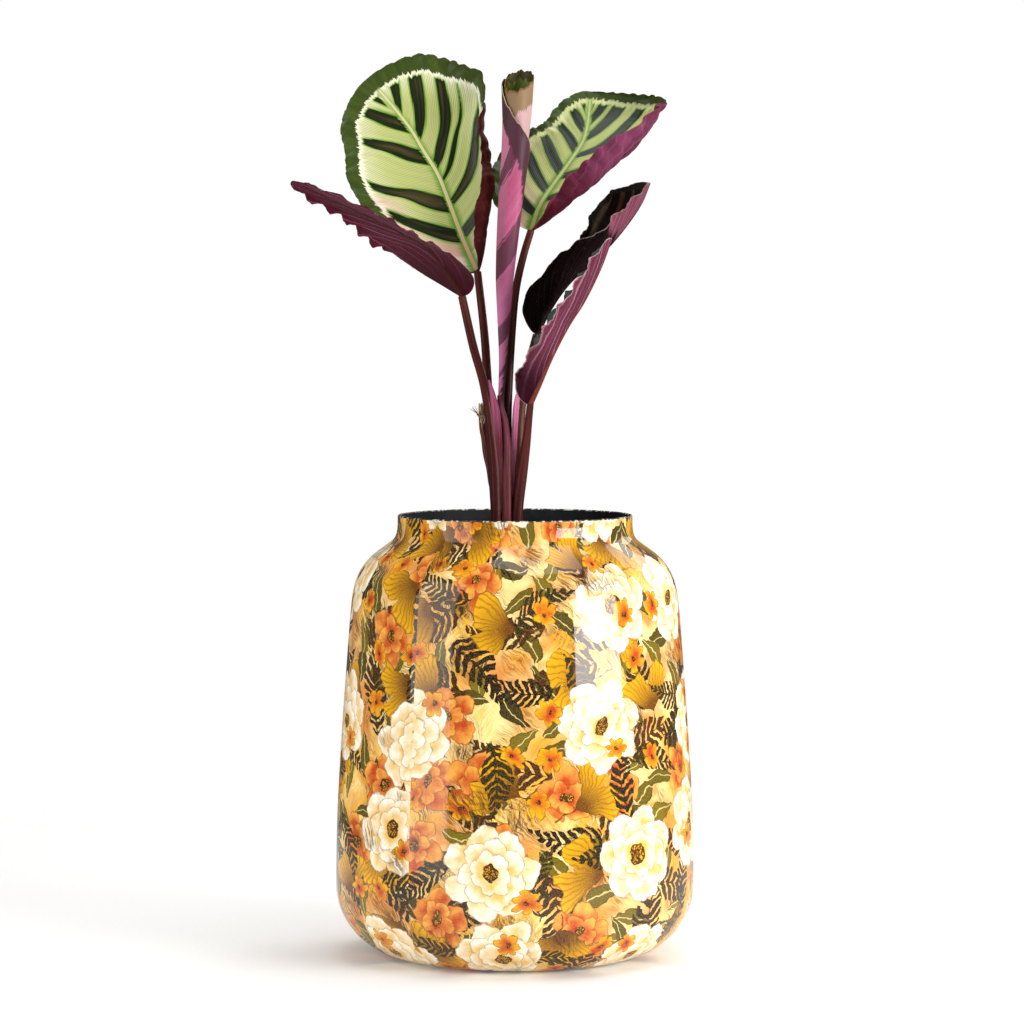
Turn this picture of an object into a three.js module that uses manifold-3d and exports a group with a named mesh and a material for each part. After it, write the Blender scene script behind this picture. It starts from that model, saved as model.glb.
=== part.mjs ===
// A potted calathea: five open leaves and one rolled new leaf on petioles that stand in the
// soil of a thin spun-metal vase.
// Millimetres, +Z up. The origin is the centre of the vase's flat underside.
// The front is -Y, the side from which the big patterned leaf shows its face.

import * as THREE from "three";
import * as BufferGeometryUtils from "three/addons/utils/BufferGeometryUtils.js";
import Module from "manifold-3d";

const wasm = await Module();
wasm.setup();

// Vase
const POT_HEIGHT = 245;
const MOUTH_RADIUS = 65.3;
const BELLY_RADIUS = 100;
const BELLY_HEIGHT = 46;
const FLAT_RADIUS = 60.5;
const WALL = 1.4;
const AROUND = 36;
const FOOT_STEPS = 6;
const FOOT_SWEEP = 84;

// Soil
const SOIL_TOP = POT_HEIGHT - 25;
const SOIL_GAP = 0.3;
const SOIL_SHORE = 76;
const SHORE_DROP = 4;
const SHORE_WIDTH = 12;
const MOUND_HEIGHT = 2.5;
const MOUND_SPREAD = 26;
const LUMP_HEIGHT = 0.7;
const HOLE_DEPTH = 20;

// Crown: the petioles stand side by side in two rows
const PETIOLE_RADIUS = 2.8;
const ROW_PITCH = 5.9;
const ROW_OFFSET = 3;
const CROWN_LEFT = -10.5;
const HOLE_CLEARANCE = 0.3;
const PETIOLE_FOOT = SOIL_TOP - HOLE_DEPTH;
const PETIOLE_SIDES = 8;
const PETIOLE_STEPS = 11;
const PETIOLE_TAPER = 0.8;
const SHEATH_RADIUS = 3.05;
const SHEATH_START = 224;
const SHEATH_GROWN = 240;
const SHEATH_FULL = 262;
const SHEATH_END = 302;
const WING_HALF_THICKNESS = 0.55;
const STUB_RADIUS = 1.9;
const STUB_FLATNESS = 0.8;
const STUB_PLACE = [-9, 7.9];

// Leaf blades
const BLADE_THICKNESS = 0.7;
const MIDRIB_HEIGHT = 1.5;
const JOINT_GAP = 0.9;
const END_HALF_WIDTH = 1.5;
const END_ROUNDING = 0.12;
const ROWS = 26;
const COLUMNS = [0.06, 0.28, 0.52, 0.77, 1];
const CURL_STEPS = 48;
const EVEN_SHARE = 0.55;
const MIDRIB_TAPER = 0.8;

// Waves of the margins
const WAVE_RISE = 4;
const WAVE_LEAN = 0.15;
const WAVE_SHIFT = 1.3;
const WAVE_FADE = 14;
const CALM_BEFORE = 0.12;
const CALM_AFTER = 0.05;

// Rolled leaf
const ROLL_FOOT = 310;
const ROLL_TOP = 486;
const ROLL_TOP_SLANT = 6;
const ROLL_HIGH_SIDE = 70;
const ROLL_DEPTH = -3;
const ROLL_PITCH = 1.5;
const ROLL_TIGHT = 0.65;
const ROLL_ROWS = 20;
const ROLL_COLUMNS = 18;

const UP = new THREE.Vector3(0, 0, 1);
const BACK = new THREE.Vector3(0, 1, 0);

function vector([x, y, z]) {
  return new THREE.Vector3(x, y, z);
}

function radians(degrees) {
  return THREE.MathUtils.degToRad(degrees);
}

// A smooth value between evenly spaced stations, u from 0 to 1.
function station(values, u) {
  const last = values.length - 1;
  const at = Math.min(Math.max(u, 0), 1) * last;
  const k = Math.min(Math.floor(at), last - 1);
  const f = at - k;
  const p1 = values[k];
  const p2 = values[k + 1];
  const p0 = k > 0 ? values[k - 1] : 2 * p1 - p2;
  const p3 = k + 2 <= last ? values[k + 2] : 2 * p2 - p1;
  const square = 2 * p0 - 5 * p1 + 4 * p2 - p3;
  const cube = 3 * p1 - p0 - 3 * p2 + p3;
  return 0.5 * (2 * p1 + (p2 - p0) * f + square * f ** 2 + cube * f ** 3);
}

function stationVector(points, u) {
  return vector([0, 1, 2].map((axis) => station(points.map((p) => p[axis]), u)));
}

// Rises from 0 at low to 1 at high with soft ends.
function smooth(low, high, value) {
  const t = Math.min(Math.max((value - low) / (high - low), 0), 1);
  return t * t * (3 - 2 * t);
}

// Quarter-round rise from 0 at an end of the leaf to 1 past its rounded corner.
function endRound(u) {
  return Math.sqrt(1 - (1 - Math.min(u / END_ROUNDING, 1)) ** 2);
}

// One closed body from lists of vertices and triangles.
function bodyFrom(positions, triangles) {
  const geometry = new THREE.BufferGeometry();
  geometry.setAttribute("position", new THREE.Float32BufferAttribute(positions.flat(), 3));
  geometry.setIndex(triangles.flat());
  return geometry;
}

// A closed skin over rings of equal length, each ring counter-clockwise seen from its far end.
function loft(rings) {
  const count = rings[0].length;
  const positions = rings.flat().map((p) => p.toArray());
  const triangles = [];
  for (let row = 0; row < rings.length - 1; row += 1) {
    for (let k = 0; k < count; k += 1) {
      const next = (k + 1) % count;
      const a = row * count + k;
      const b = row * count + next;
      triangles.push([a, b, b + count], [a, b + count, a + count]);
    }
  }
  const top = (rings.length - 1) * count;
  for (let k = 1; k < count - 1; k += 1) {
    triangles.push([0, k + 1, k], [top, top + k, top + k + 1]);
  }
  return bodyFrom(positions, triangles);
}

// A closed sheet: grid[row][column] holds the points of its two faces, split alike.
function sheet(grid) {
  const rows = grid.length;
  const columns = grid[0].length;
  const positions = [];
  for (const side of ["upper", "lower"]) {
    for (const row of grid) {
      row.forEach((cell) => positions.push(cell[side].toArray()));
    }
  }
  const under = rows * columns;
  const triangles = [];
  for (let r = 0; r < rows - 1; r += 1) {
    for (let c = 0; c < columns - 1; c += 1) {
      const a = r * columns + c;
      const b = a + 1;
      const d = a + columns;
      const e = d + 1;
      triangles.push([a, b, e], [a, e, d]);
      triangles.push([under + a, under + e, under + b], [under + a, under + d, under + e]);
    }
  }
  const rim = [];
  for (let c = 0; c < columns; c += 1) rim.push(c);
  for (let r = 1; r < rows; r += 1) rim.push(r * columns + columns - 1);
  for (let c = columns - 2; c >= 0; c -= 1) rim.push((rows - 1) * columns + c);
  for (let r = rows - 2; r >= 1; r -= 1) rim.push(r * columns);
  rim.forEach((a, k) => {
    const b = rim[(k + 1) % rim.length];
    triangles.push([a, under + a, under + b], [a, under + b, b]);
  });
  return bodyFrom(positions, triangles);
}

function toSolid(geometry) {
  const bare = geometry.clone();
  bare.deleteAttribute("normal");
  bare.deleteAttribute("uv");
  const merged = BufferGeometryUtils.mergeVertices(bare, 1e-4);
  return new wasm.Manifold(new wasm.Mesh({
    numProp: 3,
    vertProperties: new Float32Array(merged.attributes.position.array),
    triVerts: new Uint32Array(merged.index.array),
  }));
}

function toGeometry(solid) {
  const mesh = solid.getMesh();
  const geometry = new THREE.BufferGeometry();
  geometry.setAttribute("position", new THREE.BufferAttribute(mesh.vertProperties, 3));
  geometry.setIndex(new THREE.BufferAttribute(mesh.triVerts, 1));
  return geometry;
}

// Vase profile: points of radius and height from the centre of the underside to the rim.
function potOutside() {
  const corner = BELLY_RADIUS - FLAT_RADIUS;
  const points = [new THREE.Vector2(0, 0)];
  for (let k = 0; k <= FOOT_STEPS; k += 1) {
    const angle = radians(-90 + (FOOT_SWEEP * k) / FOOT_STEPS);
    const radius = FLAT_RADIUS + corner * Math.cos(angle);
    points.push(new THREE.Vector2(radius, corner + corner * Math.sin(angle)));
  }
  const wall = [
    [BELLY_RADIUS, BELLY_HEIGHT], [99.4, 75], [97, 120], [93.2, 170],
    [91.3, 195], [89.5, 206.5], [85.9, 215], [80.2, 222], [71.4, 228.4],
    [66.8, 231.8], [MOUTH_RADIUS, 237], [MOUTH_RADIUS, POT_HEIGHT],
  ];
  wall.forEach(([r, z]) => points.push(new THREE.Vector2(r, z)));
  return points;
}

// The same profile moved in by a distance, its ends kept on the axis and at a given height.
function movedIn(profile, distance, floor, top) {
  const inside = [new THREE.Vector2(0, floor)];
  for (let k = 1; k < profile.length; k += 1) {
    const before = profile[k - 1];
    const after = profile[Math.min(k + 1, profile.length - 1)];
    const along = after.clone().sub(before).normalize();
    const r = profile[k].x - along.y * distance;
    const z = profile[k].y + along.x * distance;
    inside.push(new THREE.Vector2(r, k === profile.length - 1 ? top : Math.max(z, floor)));
  }
  return inside;
}

function potGeometry() {
  const outside = potOutside();
  const inside = movedIn(outside, WALL, WALL, POT_HEIGHT);
  const geometry = new THREE.LatheGeometry([...outside, ...inside.reverse()], AROUND);
  return geometry.rotateX(Math.PI / 2);
}

// Surface of the soil: a low mound round the crown with lumps all over.
function soilHeight(x, y) {
  const mound = MOUND_HEIGHT * Math.exp(-(x * x + y * y) / MOUND_SPREAD ** 2);
  const lumps = Math.sin(x * 0.31 + 1.1) * Math.cos(y * 0.27) + Math.sin(x * 0.13 - y * 0.22);
  return mound + LUMP_HEIGHT * lumps;
}

function crownHole() {
  const reach = PETIOLE_RADIUS + HOLE_CLEARANCE;
  const right = CROWN_LEFT + 2 * ROW_PITCH;
  const outline = new THREE.Shape();
  outline.absarc(right, ROW_OFFSET, reach, 0, Math.PI / 2);
  outline.absarc(CROWN_LEFT, ROW_OFFSET, reach, Math.PI / 2, Math.PI);
  outline.absarc(CROWN_LEFT, -ROW_OFFSET, reach, Math.PI, 1.5 * Math.PI);
  outline.absarc(right, -ROW_OFFSET, reach, 1.5 * Math.PI, 2 * Math.PI);
  const stub = new THREE.Shape();
  stub.absarc(...STUB_PLACE, STUB_RADIUS + HOLE_CLEARANCE, 0, 2 * Math.PI);
  const depth = HOLE_DEPTH + 2 * MOUND_HEIGHT + HOLE_CLEARANCE;
  const cuts = [outline, stub].map((shape) => {
    const cut = new THREE.ExtrudeGeometry(shape, { depth, bevelEnabled: false, curveSegments: 5 });
    return toSolid(cut.translate(0, 0, PETIOLE_FOOT - HOLE_CLEARANCE));
  });
  return cuts[0].add(cuts[1]);
}

function soilGeometry() {
  const bottom = WALL + SOIL_GAP;
  const side = movedIn(potOutside(), bottom, bottom, POT_HEIGHT);
  const low = side.filter((point) => point.y < SOIL_TOP - SHORE_DROP);
  const edge = low[low.length - 1].x;
  const profile = [...low];
  for (const share of [1, 0.84, 0.68, 0.52, 0.36, 0.2, 0]) {
    profile.push(new THREE.Vector2(SOIL_SHORE * share, SOIL_TOP));
  }
  const lathe = new THREE.LatheGeometry(profile, AROUND).rotateX(Math.PI / 2);
  const place = lathe.attributes.position;
  for (let k = 0; k < place.count; k += 1) {
    if (place.getZ(k) < SOIL_TOP - 1) continue;
    const inward = edge - Math.hypot(place.getX(k), place.getY(k));
    const fade = Math.min(1, inward / SHORE_WIDTH);
    place.setZ(k, SOIL_TOP + fade * soilHeight(place.getX(k), place.getY(k)));
  }
  return toGeometry(toSolid(lathe).subtract(crownHole()));
}

// Open leaves. spine: points along the midrib from the petiole to the tip. face: where the
// upper face looks at stations along it. Each half has its half-widths, the angle at which
// it leaves the midrib (fold), how far it turns on to its margin (turn), in degrees, and how
// near the margin the turn is (curl). wave: heights of the margin's waves on each half, how
// many there are and where they start, the calm share of the blade from its base, and how
// pointed the waves are (cusp).
const LEAVES = {
  upper_left: {
    spine: [[-21, 14, 380], [-29, 18, 398], [-37, 23, 419], [-43, 27, 434],
      [-52, 31, 449], [-60, 34, 462], [-73, 37, 478], [-83, 40, 489]],
    face: [[0.1, -1, 0.15], [0.1, -1, 0.2], [0.05, -1, 0.2]],
    left: { widths: [12, 27, 38, 44, 45, 42, 33, 24], fold: [0, -8, -4, 0], turn: [4, 4, 8, 10],
      curl: [2, 2] },
    right: { widths: [13, 32, 45, 43, 47.5, 52, 38.5, 29], fold: [40, 30, 12, 5, 0, 0, 0],
      turn: [170, 180, 175, 160, 105, 40, 20], curl: [2.4, 2.4, 2.5, 3.5, 4.5, 5, 5] },
    wave: { left: 1.2, right: 1.5, count: 8, phase: 0, calm: 0, cusp: 0 },
  },
  upper_right: {
    spine: [[9, 16, 403], [14, 22, 417], [21, 30, 428], [31, 40, 442], [39, 50, 455],
      [42, 60, 469], [43, 67, 483]],
    face: [[-0.35, -0.75, 0.6], [-0.2, -0.8, 0.6], [0, -0.85, 0.6]],
    left: { widths: [12, 28, 36, 36, 31, 25, 19, 12], fold: [10, 5, 5, 5], turn: [15, 15, 15, 10],
      curl: [2, 2] },
    right: { widths: [14, 36, 49, 53, 54.5, 54, 50, 45], fold: [5, 5, 5, -2, -9],
      turn: [160, 155, 145, 110, 60], curl: [2.4, 2.4] },
    wave: { left: 1, right: 2.4, count: 9, phase: 0.6, calm: 0, cusp: 0 },
  },
  left: {
    spine: [[-29.5, -5, 366.5], [-37, -11, 379.5], [-48, -20, 393], [-60, -28, 400],
      [-82, -40, 411], [-100, -48, 419], [-121, -54, 428]],
    face: [[0.5, 0.45, 0.8], [0.35, 0.4, 0.9], [0.35, 0.4, 0.9]],
    left: { widths: [14, 22, 25, 29, 31, 28, 22, 11], fold: [-2, -18, -17, -14],
      turn: [5, 0, 0, 0], curl: [2, 2] },
    right: { widths: [8, 27, 33, 31, 22, 14, 11, 7], fold: [8, 2, 0, 0],
      turn: [0, -5, -8, -8], curl: [2, 2] },
    wave: { left: 1, right: 2, count: 9, phase: 0.3, calm: 0.35, cusp: 0 },
  },
  right: {
    spine: [[12, 8, 345], [19, 10, 359], [29, 13, 373], [40, 16, 383], [50.5, 18, 392.5],
      [61.5, 20, 405], [70.5, 21, 418], [75.5, 22, 429.5]],
    face: [[-0.85, 0.2, 0.5], [-0.85, 0, 0.5], [-0.75, -0.35, 0.5], [-0.7, -0.5, 0.5]],
    left: { widths: [12, 19, 18, 18, 19, 24, 26, 19], fold: [10, 5, 0, 0],
      turn: [190, 200, 170, 60, 20], curl: [1.2, 1.2] },
    right: { widths: [16, 28, 25, 20, 17, 16, 11, 6], fold: [20, 15, 10, 40, 40],
      turn: [220, 220, 220, 190, 110, 50, 35, 30, 25], curl: [1.1, 1.1] },
    wave: { left: 1.4, right: 1.6, count: 7, phase: 0, calm: 0, cusp: 0.5 },
  },
  lower_right: {
    spine: [[8, -10, 306], [13, -12, 317], [20, -14, 333], [29, -16, 350], [38, -18, 364],
      [47, -19, 382], [53, -20, 398]],
    face: [[-0.85, 0.1, 0.5], [-0.85, 0.1, 0.5], [-0.8, 0.1, 0.5]],
    left: { widths: [5, 11, 17, 22, 23, 20, 15, 8], fold: [65, 50, 34, 28, 26, 26],
      turn: [10, 5, 5, 5], curl: [1.5, 1.5] },
    right: { widths: [11, 18, 25, 30, 29, 25, 18, 10], fold: [45, 36, 20, 11, 10, 10, 10, 10, 10],
      turn: [15, 12, 10, 10], curl: [1.5, 1.5] },
    wave: { left: 1.8, right: 1.5, count: 7, phase: 0.5, calm: 0, cusp: 0.8 },
  },
};

// Midrib point and the local directions: along the rib, out of the upper face and across.
function leafFrame(leaf, u) {
  const curve = new THREE.CatmullRomCurve3(leaf.spine.map(vector), false, "catmullrom", 0.5);
  const point = curve.getPointAt(u);
  const along = curve.getTangentAt(u);
  const face = stationVector(leaf.face, u).projectOnPlane(along).normalize();
  return { point, along, face, across: along.clone().cross(face) };
}

// How far a margin stands off its mid-surface in its waves, at v from the midrib outwards.
function waveOffset(wave, u, v, side) {
  const swing = 2 * Math.PI * wave.count * (u - WAVE_LEAN * v) + wave.phase
    + (side > 0 ? WAVE_SHIFT : 0);
  const pointed = 1 - 2 * Math.abs(Math.sin(swing / 2 - Math.PI / 4));
  const crest = (1 - wave.cusp) * Math.sin(swing) + wave.cusp * pointed;
  const ends = Math.min(1, WAVE_FADE * u * (1 - u));
  const calm = smooth(wave.calm - CALM_BEFORE, wave.calm + CALM_AFTER, u);
  return (side < 0 ? wave.left : wave.right) * v ** WAVE_RISE * crest * ends * calm;
}

// Mid-surface points of one half at a row, from the midrib out to the margin.
function halfRow(leaf, frame, u, side) {
  const half = side < 0 ? leaf.left : leaf.right;
  const width = END_HALF_WIDTH + station(half.widths, u) * endRound(u) * endRound(1 - u);
  const fold = radians(station(half.fold, u));
  const turn = radians(station(half.turn, u));
  const curl = station(half.curl, u);
  const cells = [];
  let out = 0;
  let rise = 0;
  let done = 0;
  for (const v of COLUMNS) {
    const steps = Math.max(1, Math.round((v - done) * CURL_STEPS));
    const step = (v - done) / steps;
    for (let k = 0; k < steps; k += 1) {
      const angle = fold + turn * (done + (k + 0.5) * step) ** curl;
      out += Math.cos(angle) * width * step;
      rise += Math.sin(angle) * width * step;
    }
    done = v;
    const angle = fold + turn * v ** curl;
    const normal = frame.across.clone().multiplyScalar(-side * Math.sin(angle))
      .addScaledVector(frame.face, Math.cos(angle));
    const point = frame.point.clone().addScaledVector(frame.across, side * out)
      .addScaledVector(frame.face, rise)
      .addScaledVector(normal, waveOffset(leaf.wave, u, v, side));
    cells.push({ point, normal });
  }
  return cells;
}

function bladeGeometry(leaf) {
  const grid = [];
  for (let row = 0; row <= ROWS; row += 1) {
    const even = row / ROWS;
    const eased = 0.5 * (1 - Math.cos(Math.PI * even));
    const u = EVEN_SHARE * even + (1 - EVEN_SHARE) * eased;
    const frame = leafFrame(leaf, u);
    const cells = [
      ...halfRow(leaf, frame, u, -1).reverse(),
      { point: frame.point, normal: frame.face, rib: MIDRIB_HEIGHT * (1 - MIDRIB_TAPER * u) },
      ...halfRow(leaf, frame, u, 1),
    ];
    grid.push(cells.map(({ point, normal, rib = 0 }) => ({
      upper: point.clone().addScaledVector(normal, BLADE_THICKNESS / 2),
      lower: point.clone().addScaledVector(normal, -BLADE_THICKNESS / 2 - rib),
    })));
  }
  return sheet(grid);
}

// The new leaf, rolled round itself: stations run from its foot to its open top.
const ROLL = {
  axis: [-8, -7, -6.5, -6, -4.4, -2.6, -0.5, 1.2, 1.9],
  radius: [1.9, 2.6, 4, 5.4, 6.5, 7.3, 8, 8.6, 9.2],
  turns: [0.8, 1.2, 1.4, 1.45, 1.3],
  margin: [470, 450, 420, 365, 195],
};

function rolledGeometry() {
  const grid = [];
  for (let row = 0; row <= ROLL_ROWS; row += 1) {
    const u = row / ROLL_ROWS;
    const cells = [];
    for (let column = 0; column <= ROLL_COLUMNS; column += 1) {
      const wound = (station(ROLL.turns, u) * column) / ROLL_COLUMNS;
      const azimuth = radians(station(ROLL.margin, u) - 360 * wound);
      const slant = ROLL_TOP_SLANT * Math.cos(azimuth - radians(ROLL_HIGH_SIDE));
      const height = ROLL_FOOT + u * (ROLL_TOP - ROLL_FOOT + slant);
      const radius = station(ROLL.radius, u) - ROLL_PITCH * wound * Math.min(1, ROLL_TIGHT + u);
      const outward = new THREE.Vector3(Math.cos(azimuth), Math.sin(azimuth), 0);
      const middle = new THREE.Vector3(station(ROLL.axis, u), ROLL_DEPTH, height);
      cells.push({
        upper: middle.clone().addScaledVector(outward, radius - BLADE_THICKNESS / 2),
        lower: middle.clone().addScaledVector(outward, radius + BLADE_THICKNESS / 2),
      });
    }
    grid.push(cells);
  }
  return sheet(grid);
}

// A ring of points round a stem, flattened along one of its two directions.
function stemRing(centre, along, wide, thick, sides) {
  const across = BACK.clone().cross(along).normalize();
  const deep = along.clone().cross(across);
  const ring = [];
  for (let k = 0; k < sides; k += 1) {
    const angle = (2 * Math.PI * (k + 0.5)) / sides;
    ring.push(centre.clone().addScaledVector(across, wide * Math.cos(angle))
      .addScaledVector(deep, thick * Math.sin(angle)));
  }
  return ring;
}

function stemGeometry(points, lowRadius, topRadius) {
  const curve = new THREE.CatmullRomCurve3(points, false, "catmullrom", 0.5);
  const rings = [];
  for (let k = 0; k <= PETIOLE_STEPS; k += 1) {
    const u = k / PETIOLE_STEPS;
    const centre = curve.getPointAt(u);
    const slim = topRadius + (lowRadius - topRadius) * (1 - u) ** PETIOLE_TAPER;
    const sheath = smooth(SHEATH_END, SHEATH_FULL, centre.z)
      * smooth(SHEATH_START, SHEATH_GROWN, centre.z);
    const radius = slim + (SHEATH_RADIUS - slim) * sheath;
    const along = k === 0 ? UP : curve.getTangentAt(u);
    rings.push(stemRing(centre, along, radius, radius, PETIOLE_SIDES));
  }
  return loft(rings);
}

// Petioles: place in the crown (column, row) and points from above the rim to the blade.
const PETIOLES = {
  left: { place: [0, -1], top: 2.3, route: [[-11.1, -3.2, 270], [-13.3, -3.4, 292],
    [-17.2, -3.6, 317], [-23.3, -4, 339]] },
  rolled: { place: [1, -1], top: 1.9, route: [[-4.6, -3, 268], [-4.6, -3, 284],
    [-5.8, -3, 297], [-7.7, -3, 304]] },
  lower_right: { place: [2, -1], top: 2, route: [[4.2, -3.6, 270], [6.4, -5.4, 287]] },
  upper_left: { place: [0, 1], top: 2.2, route: [[-12, 3.2, 270], [-13.6, 3.6, 292],
    [-15.6, 4.4, 325], [-17.2, 5.4, 347]] },
  upper_right: { place: [1, 1], top: 2.1, route: [[-4.4, 3.2, 275], [-3.9, 3.4, 308],
    [-1.7, 5, 347], [0.6, 7.4, 370], [4.5, 11, 388]] },
  right: { place: [2, 1], top: 2.1, route: [[1.9, 3.2, 275], [3.9, 3.4, 306], [7.6, 5, 328]] },
};

// Sheath wings: the thin pink edges of two petiole bases, [x, y, z, half-width] from the
// bottom up, and the direction across the wing.
const WINGS = {
  left: { across: [0.96, -0.28, 0], line: [[-9.2, -4.3, 262, 0.8], [-9.6, -4.9, 275, 1.6],
    [-10, -5.3, 290, 2.6], [-10.9, -5.5, 303, 2.5], [-12.6, -5.4, 313, 1.5],
    [-14.4, -5, 320, 0.5]] },
  right: { across: [0.85, 0.53, 0], line: [[-0.6, 0.9, 262, 0.9], [0, 1, 275, 1.9],
    [0.5, 1.1, 290, 2.2], [1.2, 1.3, 303, 1.8], [1.9, 1.6, 311, 0.6]] },
};

function wingGeometry({ across, line }) {
  const wide = vector(across).normalize();
  const thick = UP.clone().cross(wide);
  return loft(line.map(([x, y, z, half]) => {
    const ring = [];
    for (let k = 0; k < PETIOLE_SIDES; k += 1) {
      const angle = (2 * Math.PI * (k + 0.5)) / PETIOLE_SIDES;
      ring.push(new THREE.Vector3(x, y, z).addScaledVector(wide, half * Math.cos(angle))
        .addScaledVector(thick, WING_HALF_THICKNESS * Math.sin(angle)));
    }
    return ring;
  }));
}

function petioleGeometry(name) {
  const { place, top, route } = PETIOLES[name];
  const x = CROWN_LEFT + place[0] * ROW_PITCH;
  const y = place[1] * ROW_OFFSET;
  const points = [vector([x, y, PETIOLE_FOOT]), vector([x, y, SOIL_TOP]),
    vector([x, y, POT_HEIGHT]), ...route.map(vector)];
  if (name === "rolled") {
    points.push(vector([ROLL.axis[0], ROLL_DEPTH, ROLL_FOOT - JOINT_GAP]));
  } else {
    const { point, along } = leafFrame(LEAVES[name], 0);
    points.push(point.clone().addScaledVector(along, -JOINT_GAP));
  }
  const stem = stemGeometry(points, PETIOLE_RADIUS, top);
  if (!WINGS[name]) return stem;
  return toGeometry(toSolid(stem).add(toSolid(wingGeometry(WINGS[name]))));
}

// The dry stub of an old leaf, cut off above the crown, split and ragged at its top.
function stubGeometry() {
  const line = [[...STUB_PLACE, PETIOLE_FOOT, 1], [...STUB_PLACE, SOIL_TOP, 1],
    [-9.6, 8.2, 245, 1], [-12.8, 8.6, 264, 1.1], [-15.8, 8.8, 281, 1.2],
    [-17.8, 8.9, 294, 1.3], [-18.6, 8.9, 301, 1.25], [-19, 8.9, 306, 0.8]];
  return loft(line.map(([x, y, z, scale], row) => {
    const after = line[Math.min(row + 1, line.length - 1)];
    const before = line[Math.max(row - 1, 0)];
    const along = row === 0 ? UP : vector(after).sub(vector(before)).normalize();
    const radius = STUB_RADIUS * scale;
    return stemRing(vector([x, y, z]), along, radius, STUB_RADIUS * STUB_FLATNESS, PETIOLE_SIDES);
  }));
}

const finish = (color, roughness, metalness = 0) =>
  new THREE.MeshStandardMaterial({ color, roughness, metalness });

const FINISHES = {
  lacquer: finish("#d8a860", 0.18, 0.1),
  soil: finish("#2c211b", 0.95),
  patterned: finish("#7fa552", 0.45),
  underside: finish("#5a2238", 0.5),
  rolled: finish("#b0609a", 0.5),
  petiole: finish("#5a2622", 0.45),
  papery: finish("#b89a78", 0.85),
};

const plant = new THREE.Group();

function addPiece(name, geometry, material) {
  const mesh = new THREE.Mesh(geometry, material);
  mesh.name = name;
  plant.add(mesh);
}

addPiece("pot", potGeometry(), FINISHES.lacquer);
addPiece("soil", soilGeometry(), FINISHES.soil);
for (const name of Object.keys(LEAVES)) {
  const looks = name.startsWith("upper") ? FINISHES.patterned : FINISHES.underside;
  addPiece(`leaf_${name}`, bladeGeometry(LEAVES[name]), looks);
}
addPiece("leaf_rolled", rolledGeometry(), FINISHES.rolled);
for (const name of Object.keys(PETIOLES)) {
  addPiece(`petiole_${name}`, petioleGeometry(name), FINISHES.petiole);
}
addPiece("old_stub", stubGeometry(), FINISHES.papery);

export default plant;
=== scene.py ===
"""A potted calathea in a lacquered vase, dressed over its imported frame.

Tables are in millimetres, as the part's source gives them, and Blender's meshes are in metres.
The front is -Y and +Z is up.
"""

import logging
import math
from dataclasses import dataclass, field
from enum import Enum
from itertools import combinations
from typing import Any, Sequence

import bpy
import numpy as np
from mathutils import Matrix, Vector


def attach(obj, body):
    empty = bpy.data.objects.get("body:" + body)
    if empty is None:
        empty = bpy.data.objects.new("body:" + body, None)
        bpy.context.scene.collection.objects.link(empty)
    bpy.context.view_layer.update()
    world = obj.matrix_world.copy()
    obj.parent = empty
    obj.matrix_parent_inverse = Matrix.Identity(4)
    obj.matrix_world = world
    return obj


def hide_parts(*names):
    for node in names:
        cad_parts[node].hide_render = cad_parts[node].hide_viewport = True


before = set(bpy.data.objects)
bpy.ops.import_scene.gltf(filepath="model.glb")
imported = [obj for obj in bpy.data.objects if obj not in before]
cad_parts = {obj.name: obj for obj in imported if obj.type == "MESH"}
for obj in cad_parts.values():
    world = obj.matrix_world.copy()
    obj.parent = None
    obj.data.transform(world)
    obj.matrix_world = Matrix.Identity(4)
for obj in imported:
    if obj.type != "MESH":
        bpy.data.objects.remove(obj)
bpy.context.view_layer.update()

MM = 0.001
ROOT = "root"
LEAF_MAP = "leaf_map"
MARKS = ("edge", "stripe_side", "stripe_end")
UP = np.array([0.0, 0.0, 1.0])
BACK = np.array([0.0, 1.0, 0.0])
LOG = logging.getLogger("calathea")

# Millimetres from vein to vein: the finest ones, the raised lateral ones, and the finest ones
# of the rolled leaf. The fringe is the grain of what frays along them, across and along.
VEIN_PITCH = 1.15
CORD_PITCH = 6.3
ROLLED_VEIN_PITCH = 1.1
FRINGE = (0.9, 14.0)

# Settings of a map range that eases in and out.
SOFT = {"interpolation_type": "SMOOTHSTEP"}

Colour = tuple[float, float, float, float]
Point = tuple[float, float, float]
Face = tuple[int, ...]
Socket = bpy.types.NodeSocket


# Curves and numbers


def linear(code: str) -> Colour:
    """Turns an sRGB hex colour into linear light.

    Args:
        code: Colour such as "#c9dc94".

    Returns:
        Red, green, blue and alpha, as a colour socket takes them.
    """
    parts = [int(code[k:k + 2], 16) / 255 for k in (1, 3, 5)]
    light = [c / 12.92 if c <= 0.04045 else ((c + 0.055) / 1.055) ** 2.4 for c in parts]
    return light[0], light[1], light[2], 1.0


def station(values: Sequence, share: np.ndarray) -> np.ndarray:
    """Reads smooth values between evenly spaced stations.

    Args:
        values: Numbers or points, one for each station.
        share: Where to read, from 0 at the first station to 1 at the last.

    Returns:
        One value or point for each share.
    """
    table = np.asarray(values, float)
    flat = table.ndim == 1
    table = table.reshape(len(table), -1)
    at = np.clip(share, 0, 1) * (len(table) - 1)
    k = np.minimum(at.astype(int), len(table) - 2)
    f = (at - k)[:, None]
    wide = np.vstack([2 * table[0] - table[1], table, 2 * table[-1] - table[-2]])
    p0, p1, p2, p3 = (wide[k + j] for j in range(4))
    square = 2 * p0 - 5 * p1 + 4 * p2 - p3
    cube = 3 * p1 - p0 - 3 * p2 + p3
    read = 0.5 * (2 * p1 + (p2 - p0) * f + square * f ** 2 + cube * f ** 3)
    return read[:, 0] if flat else read


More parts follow.
